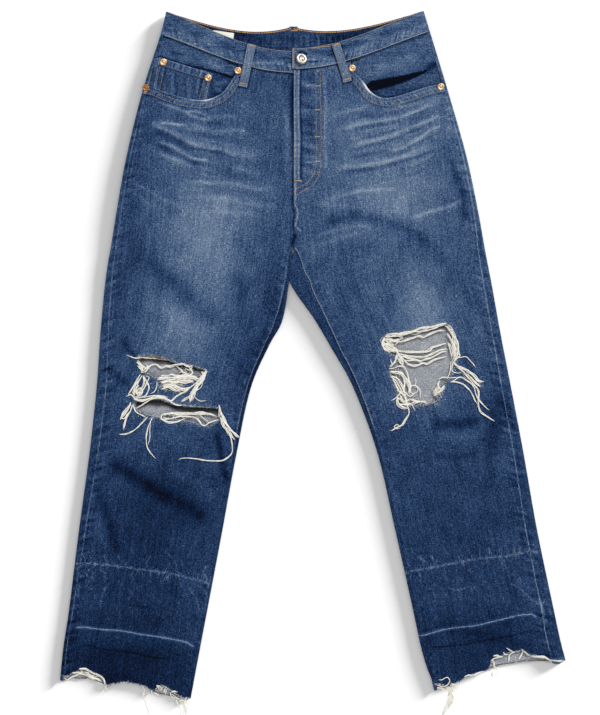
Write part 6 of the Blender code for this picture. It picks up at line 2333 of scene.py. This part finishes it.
def on_cloth(side, line):
    """The same, with every ridge and pucker of the cloth."""
    x, y = np.asarray(line, float).T[:2]
    height = front_looks(side, x, y)[0] + LAP_LIFT * lapped(side, x, y)
    return np.column_stack([x, y, level(y, 1) + height + fly_rise(side, x, y)])


def band_line(side, share, shares, back=0.0):
    """Plan points along the waistband: share runs down it from its top edge to its seam."""
    place = station(side, WAIST_TOP + share)
    return np.column_stack(spot(side, place, width_of(place) * shares, back))


def band_top_height(side, x):
    """Top face of the waistband's front."""
    return BAND_TOP + 0 * x if side == "right" else np.interp(x, *OVERLAP_HEIGHTS)


# Rows of stitches: yarn, how far down the band, then pitch, length and radius of the stitches.
BAND_ROWS_FRONT = (("tan", 0.05, (3.0, 2.2, 0.36)), ("pale", 0.965, (3.1, 2.75, 0.50)))
BAND_ROWS_BACK = (("orange", 0.10, (3.4, 3.2, 0.85)), ("tan", 0.95, (3.1, 2.3, 0.42)))
# On the overlapping end: yarn, ends of the row, points, sizes. The last is the bright stretch of the top row.
OVERLAP_ROWS = (
    ("orange", ((-26.6, 434), (-26.6, 404)), 20, (2.6, 2.3, 0.6)),
    ("pale", ((-28.0, 433), (-28.0, 404)), 20, (2.2, 2.1, 0.5)),
    ("orange", ((-2, 433.5), (26, 436.5)), 12, (2.4, 2.3, 0.55)),
)


def stitch_waist():
    """Rows along the waistband inside and out, on its end, and on the front loops."""
    work = Stitching("waist")
    inner = SEAT_UNDER + BAND_THICKNESS
    for side in LEGS:
        for yarn, share, sizes in BAND_ROWS_FRONT:
            line = band_line(side, share, np.linspace(0.035, 1, 120))
            work.row(yarn, np.column_stack([line, band_top_height(side, line[:, 0]) + 0.05]), *sizes)
        for yarn, share, sizes in BAND_ROWS_BACK:
            line = band_line(side, share, np.linspace(0.03, 0.995, 120), 1.0)
            work.row(yarn, at_level(line, inner), *sizes)
            work.row(yarn, at_level(line, SEAT_UNDER), *sizes, -1.0)
    work.bartack("orange", (CENTRE_X + 1, 459.5, inner), 0, 8, 2.0)
    for yarn, ends, count, sizes in OVERLAP_ROWS:
        work.row(yarn, at_level(np.linspace(*ends, count), OVERLAP_TOP), *sizes)
    for ends in FRONT_LOOPS.values():
        line = front_loop_line(*ends)
        run = np.degrees(math.atan2(*(line[-1] - line[0])[1::-1]))
        for distance in (-4.2, 4.2):
            plan = parallel(line[3:-3, :2], distance)
            work.row("tan", np.column_stack([plan, line[3:-3, 2]]), 2.9, 2.0, 0.30)
        work.bartack("orange", line[2], run + 90, 7.0, 2.2)
        work.bartack("orange", line[-5], run + 90, 8.0, 2.0)
    return work.pieces()


FLY_ROWS = (
    ((4.5, 400), (5, 360), (5.2, 320), (5.2, 280), (4.4, 268), (2, 257), (-3.5, 247), (-12, 240),
     (-18, 236.5), (-24.5, 233)),
    ((11, 400), (11.4, 360), (12, 320), (12, 285), (11.5, 268), (8.6, 254), (3.5, 243), (-3.5, 236),
     (-12, 232), (-17.5, 228.5), (-23, 225)),
)
# Bars over the fly: yarn, place, heading, length and width.
FLY_BARS = (
    ("pale", (5, 380), 0, 6.0, 1.5),
    ("pale", (4.5, 346), 0, 6.0, 1.5),
    ("pale", (4.5, 308), 0, 6.0, 1.5),
    ("pale", (4.5, 273), 0, 6.0, 1.5),
    ("orange", (-20.5, 245.5), 0, 9.5, 1.9),
    ("orange", (-25, 229.5), 80, 5.0, 1.8),
)
FLY_UPRIGHTS = (-25.6, -19.4)
CENTRE_SEAM = ((-23.5, 243), (-24, 226), (-25, 214), (-22.5, 207), (-20.5, 199), (-22.5, 190), (-25, 180))


def stitch_fly():
    """The fly's curved double row and its bars, and the seam below it."""
    work = Stitching("fly")
    for row in FLY_ROWS:
        line = rounded(row, 3.0)
        work.row("tan", on_front("left", line[line[:, 1] > 268]), 2.9, 2.1, 0.40)
        work.row("gold", on_front("left", line[line[:, 1] < 270]), 2.9, 2.2, 0.46)
    for yarn, place, *bar in FLY_BARS:
        aside = 2.5 if yarn == "pale" else 0.0      # the pale bars lie between the two rows
        work.bartack(yarn, on_front("left", [place])[0] + (aside, 0, 0), *bar)
    for x in FLY_UPRIGHTS:
        work.row("pale", on_front("left", np.linspace((x, 400), (x, 250), 40)), 2.9, 2.2, 0.34)
    work.row("pale", on_front("left", rounded(CENTRE_SEAM, 3.0)), 2.8, 2.4, 0.42)
    return work.pieces()


def stitch_pockets():
    """Rows round the front pockets' mouths, the coin pocket and its facing."""
    work = Stitching("pockets")
    for side in LEGS:
        for distance in MOUTH_ROWS:
            line = parallel(MOUTHS[side], distance * INWARD[side])
            inward = beside_seam(side, "outseam", *line.T)[0]
            line = line[(inward > 1) & (below_waist(*line.T) > 2)]
            work.row("tan", on_front(side, line), 2.9, 2.2, 0.42)
    rows = [(np.full(50, COIN_HEM / COIN_DEPTH), np.linspace(0.02, 0.98, 50))]
    for across in (3.2, 9.6, COIN_WIDTH - 9.6, COIN_WIDTH - 3.2):
        rows.append((np.linspace(0.19, 0.97, 40), np.full(40, across / COIN_WIDTH)))
    for down, along in rows:
        x, y = coin_plan(down, along).T
        work.row("tan", np.column_stack([x, y, coin_height(x, y) + 0.1]), 2.9, 2.0, 0.34)
    for ends in (((-143.5, 419), (-147.5, 408)), ((-136, 419), (-140, 407))):
        line = straight(ends, 2.0)
        work.row("tan", np.column_stack([line, facing_top("right", *line.T) + 0.1]), 2.7, 2.0, 0.36)
    work.bartack("orange", on_front("right", [(-236, 374)])[0] + (0, 0, 0.2), 62, 9.0, 4.0)
    return work.pieces()


# Each inseam's row: highest y and radius. Each outseam's dashes: gaps, radius and shades.
INSEAM_ROW = {"right": (102, 0.40), "left": (152, 0.50)}
OUTSEAM_DASHES = {"right": ((0.2, 3.0), 0.30, (0.15, 0.6)), "left": ((-0.4, 1.8), 0.42, (0.0, 0.35))}


def stitch_seams():
    """Rows beside the seams and the worn, broken let-down lines."""
    work = Stitching("seams")
    scratch_pieces = []
    for side in LEGS:
        line = SEAMS[side, "inseam"]
        highest, radius = INSEAM_ROW[side]
        high = line[(line[:, 1] < highest) & (line[:, 1] > -112)]
        work.row("pale", on_front(side, parallel(high, -1.1 * INWARD[side])), 2.7, 2.45, radius)
    low = SEAMS["right", "inseam"]
    work.row("tan", on_front("right", parallel(low[low[:, 1] < -415], -1.1)), 3.2, 2.0, 0.30)
    for side in LEGS:
        def dashes(line, gap, length, radius, shade=(0.1, 0.5)):
            work.dashes("worn", on_cloth(side, line), gap, length, radius, shade)

        seam = SEAMS[side, "outseam"]
        seam = seam[(seam[:, 1] < 345) & (seam[:, 1] > foot_height(side, seam[:, 0]) + 12)]
        high = seam[seam[:, 1] > -40]
        gaps, radius, shade = OUTSEAM_DASHES[side]
        dashes(wandering(parallel(seam, 0.8 * INWARD[side]), 0.35, 7.0), gaps, (2.5, 10.0), radius, shade)
        dashes(parallel(high, 5.8 * INWARD[side]), (2.0, 9.0), (1.5, 4.0), 0.26, (0.3, 0.6))
        upper, lower = (rounded(row, 3.0) for row in LET_DOWN[side])
        dashes(wandering(upper, 0.7, 5.5), (0.2, 5.6), (1.6, 7.0), 0.36, (0.0, 0.6))
        dashes(parallel(upper, 1.7), (5.0, 20.0), (1.5, 4.0), 0.34)
        dashes(parallel(upper, -1.6), (9.0, 30.0), (1.5, 4.0), 0.32)
        draw = np.random.default_rng(SCRATCH_SEED[side])
        scratches = Tubes(3)
        for scratch in hem_scratches(upper, draw):
            scratches.add(on_cloth(side, scratch)[None], 0.26 * DASH_SHAPE[None], draw.uniform(0.15, 0.75, 1))
        scratch_pieces.append(scratches.piece(f"scratches_{side}", YARNS["worn"]))
        dashes(wandering(lower, 0.5, 9.0), (-1.6, 0.4), (3.0, 8.0), 0.50, (0.0, 0.35))
    return work.pieces() + scratch_pieces


def hem_scratches(line, draw):
    """Short pale scratches that cross an upper let-down line, each as a line of plan points."""
    at = lengths_along(line)
    left = left_of(line)
    for middle in np.sort(draw.uniform(4, at[-1] - 4, int(at[-1] / 5.2))):
        x, y, left_x, left_y = (np.interp(middle, at, column) for column in (*line.T, *left.T))
        length, lean, shift, bend = draw.uniform((3, -0.5, -9, -1), (11, 0.5, 7, 1))
        t = np.linspace(-0.5, 0.5, 7)
        up, aside = length * t + shift, length * lean * t + bend * (t * t - 0.25)
        yield np.column_stack([x + up * left_x + aside * left_y, y + up * left_y - aside * left_x])


def stitch_back():
    """Rows on the underside: pockets, yokes and the seat seam."""
    work = Stitching("back")
    for side in LEGS:
        def row(line, radius):
            work.row("orange", line, 3.0, 2.3, radius, -1.0)

        corners = back_pocket_outline(side)
        centre = corners.mean(axis=0)
        for inset in (3.0, 9.0):
            ring = centre + (corners - centre) * (1 - inset / 62)
            row(at_level(straight([ring[0], *ring[:0:-1]], 3.0), 0.2), 0.34)
        row(at_level(straight(corners[:2] - (0, 14), 3.0), 0.2), 0.34)
        for (x, y), aside in zip(corners[:2], (4, -4)):
            work.bartack("orange", (x + aside, y - 4, 0.7), 90, 8.0, 2.4, -1.0)
        shares = np.linspace(0.04, 0.985, 70)
        for below in (0.03, 0.12):
            place = station(side, yoke_seam(shares) + below)
            plan = np.column_stack(spot(side, place, width_of(place) * shares, 1.0))
            row(at_level(plan, SEAT_UNDER), 0.42)
        place = station(side, np.linspace(0.02, CROTCH - 0.1, 60))
        x, y = spot(side, place, width_of(place) - 3.4, 1.0)
        row(np.column_stack([x, y, level(y, 2)]), 0.40)
    return work.pieces()


# ---------------------------------------------------------------- rivets and button
SEGMENTS = 32


def turned_object(name, profile, place, material, tilt=(0.0, 0.0)):
    """A turned piece: its profile's radii and heights in mm, foot to top, at a place, leant over."""
    radius, height = rounded(profile, 0.45).T[..., None]
    angles = np.arange(SEGMENTS) * math.tau / SEGMENTS
    points = np.stack([radius * np.cos(angles), radius * np.sin(angles), height + 0 * angles], -1)
    index = np.arange(radius.size * SEGMENTS).reshape(-1, SEGMENTS)
    following = np.roll(index, -1, axis=1)
    faces = np.stack([index[:-1], following[:-1], following[1:], index[1:]], -1).reshape(-1, 4).tolist()
    faces += [index[0, ::-1].tolist(), index[-1].tolist()]
    angle, towards = (math.radians(v) for v in tilt)
    lean = Matrix.Rotation(angle, 3, Vector((-math.sin(towards), math.cos(towards), 0)))
    points = points.reshape(-1, 3) @ np.array(lean).T + np.asarray(place)
    return mesh_object(name, points, faces, None, (material,))


RIVET_PROFILE = ((0.3, 0.0), (4.6, 0.0), (5.0, 0.3), (4.9, 0.8), (4.3, 1.15), (3.5, 1.25), (2.9, 1.0),
                 (2.2, 0.8), (1.7, 0.95), (1.3, 1.5), (0.8, 1.85), (0.3, 1.9))
BUTTON_PROFILE = ((0.3, 0.0), (3.6, 0.0), (3.8, 1.4), (5.0, 2.4), (7.6, 2.6), (8.5, 3.2), (8.3, 4.2),
                  (7.4, 5.0), (6.1, 5.4), (4.9, 5.25), (3.9, 4.8), (3.2, 4.15), (2.4, 3.9), (1.7, 4.15),
                  (1.1, 4.45), (0.3, 4.5))
BUTTON_TILT = (24.0, 40.0)      # how far it leans, and towards which azimuth
BUTTON_LIFT = 0.6


def make_rivet(name):
    low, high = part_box(name)
    middle = (low + high) / 2
    place = (middle.x / MM, middle.y / MM, low.z / MM)
    metal = COPPER_DULL if name == "rivet_mouth_right_side" else COPPER
    return turned_object(f"{name}_turned", RIVET_PROFILE, place, metal)


def make_button():
    low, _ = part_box("button_waist")
    place = (*BUTTON_PLACE, low.z / MM + BUTTON_LIFT)
    return turned_object("button_waist_turned", BUTTON_PROFILE, place, NICKEL, BUTTON_TILT)


# ================================================================ room, camera and lights
CAMERA_LENS = 85.0
CAMERA_SENSOR = 36.0
VIEW_CENTRE = (-17.75, -4.97)
VIEW_HEIGHT = 1015.3       # of the picture, at the height of the cloth
VIEW_LEVEL = 6.0
FLOOR_HALF = 3.0           # m
FLOOR_LEVEL = -0.3         # mm, just clear of the underside's stitches
WORLD_STRENGTH = 0.60


def make_floor():
    mesh = bpy.data.meshes.new("floor")
    corners = [(x * FLOOR_HALF, y * FLOOR_HALF, 0) for x, y in ((-1, -1), (1, -1), (1, 1), (-1, 1))]
    mesh.from_pydata(corners, [], [(0, 1, 2, 3)])
    mesh.materials.append(make_floor_material())
    floor = bpy.data.objects.new("floor", mesh)
    floor.location.z = FLOOR_LEVEL * MM
    bpy.context.scene.collection.objects.link(floor)
    return floor


def make_camera():
    """A long lens, straight above."""
    data = bpy.data.cameras.new("camera")
    data.lens = CAMERA_LENS
    data.sensor_width = CAMERA_SENSOR
    camera = bpy.data.objects.new("camera", data)
    distance = VIEW_HEIGHT * CAMERA_LENS / CAMERA_SENSOR + VIEW_LEVEL
    camera.location = Vector((*VIEW_CENTRE, distance)) * MM
    bpy.context.scene.collection.objects.link(camera)
    bpy.context.scene.camera = camera


def make_sun(name, azimuth, elevation, strength, spread):
    """A sun that shines from an azimuth, in degrees from +X towards +Y, and an elevation."""
    data = bpy.data.lights.new(name, "SUN")
    data.energy = strength
    data.angle = math.radians(spread)
    a, e = math.radians(azimuth), math.radians(elevation)
    towards = Vector((math.cos(a) * math.cos(e), math.sin(a) * math.cos(e), math.sin(e)))
    sun = bpy.data.objects.new(name, data)
    sun.rotation_euler = towards.to_track_quat("Z", "Y").to_euler()
    bpy.context.scene.collection.objects.link(sun)
    return sun


def share_light(light, floor, on_floor, blockers=()):
    """Keep a light to the floor, or keep it off the floor; blockers are all that shade it."""
    receivers = bpy.data.collections.new(f"{light.name}_receivers")
    receivers.objects.link(floor)
    light.light_linking.receiver_collection = receivers
    if not on_floor:
        receivers.collection_objects[0].light_linking.link_state = "EXCLUDE"
    if blockers:
        shading = bpy.data.collections.new(f"{light.name}_blockers")
        for piece in blockers:
            shading.objects.link(piece)
        light.light_linking.blocker_collection = shading


def make_room(blockers):
    floor = make_floor()
    world = bpy.data.worlds.new("studio")
    world.use_nodes = True
    background = world.node_tree.nodes["Background"]
    background.inputs["Color"].default_value = (1, 1, 1, 1)
    background.inputs["Strength"].default_value = WORLD_STRENGTH
    bpy.context.scene.world = world
    share_light(make_sun("floor_sun", 36, 7.8, 13.6, 15.5), floor, True, blockers)
    share_light(make_sun("cloth_key", 62, 46, 2.2, 14), floor, False)
    bpy.context.scene.view_settings.view_transform = "Standard"


# ================================================================ putting it together
# What shows of each piece laid out flat, all round on a tube: width and length in mm, its area in m2 (None
# for the whole of width times length) and what it rests on.
SHEETS = {
    "front_right": (262, 945, 0.178, ["back_right"]),
    "front_left": (262, 930, 0.170, ["back_left"]),
    "back_right": (310, 950, 0.204, ["floor"]),
    "back_left": (315, 940, 0.209, ["floor"]),
    "yoke_right": (205, 80, 0.0108, ["floor"]),
    "yoke_left": (208, 80, 0.0114, ["floor"]),
    "waistband": (800, 36, None, ["floor"]),
    "pocket_facing_right": (156, 130, 0.0135, ["back_right"]),
    "pocket_facing_left": (157, 134, 0.0142, ["back_left"]),
    "coin_pocket": (79, 61, None, ["pocket_facing_right"]),
    "belt_loop_front_right": (12, 64, None, ["waistband", "front_right"]),
    "belt_loop_front_left": (12, 58, None, ["waistband", "front_left"]),
    "belt_loop_back_right": (12, 58, None, ["floor"]),
    "belt_loop_back_left": (12, 58, None, ["floor"]),
    "belt_loop_back_centre": (12, 58, None, ["floor"]),
    "fly_facing": (41.5, 165, None, ["fly_shield"]),
    "fly_shield": (61, 162, 0.0096, ["back_right", "back_left"]),
    "back_pocket_right": (140, 151, 0.0192, ["floor"]),
    "back_pocket_left": (140, 151, 0.0192, ["floor"]),
    "label": (30, 26, None, ["waistband"]),
}
RIP_NODES = {"right": ("threads_rip_right_upper", "threads_rip_right_lower"), "left": ("threads_rip_left",)}

fronts = {side: make_front(side) for side in LEGS}
backs = {side: make_back(side) for side in LEGS}
yokes = {side: make_yoke(side) for side in LEGS}
band = make_waistband()
facings = {side: make_facing(side) for side in LEGS}
coin = make_coin_pocket()
loops = [make_front_loop(name, *ends) for name, ends in FRONT_LOOPS.items()]
loops += [make_back_loop(name, *ends) for name, ends in BACK_LOOPS.items()]
fly = make_fly()
pockets = [make_back_pocket(side) for side in LEGS]
label = make_label()

cloth = [*fronts.values(), *backs.values(), *yokes.values(), band, *facings.values(), coin, *loops, *fly,
         *pockets]
for piece in cloth + [label]:
    node = piece.name.split(".")[0]
    piece.name = f"{node}_cloth"
    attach(piece, "root")
    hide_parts(node)

for node, (width, length, area, below) in SHEETS.items():
    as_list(below)

for side in LEGS:
    rip_pieces = make_rip_threads(side)
    hem_pieces = make_hem_fringe(side)
    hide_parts(*RIP_NODES[side])
    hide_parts(f"fringe_hem_{side}")
    for piece in rip_pieces + hem_pieces + make_rip_edges(side):
        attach(piece, "root")

for piece in stitch_waist() + stitch_fly() + stitch_pockets() + stitch_seams() + stitch_back():
    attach(piece, "root")

for name in RIVETS:
    rivet = make_rivet(name)
    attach(rivet, "root")
    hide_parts(name)
button = make_button()
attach(button, "root")
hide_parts("button_waist")

make_camera()
make_room(cloth)
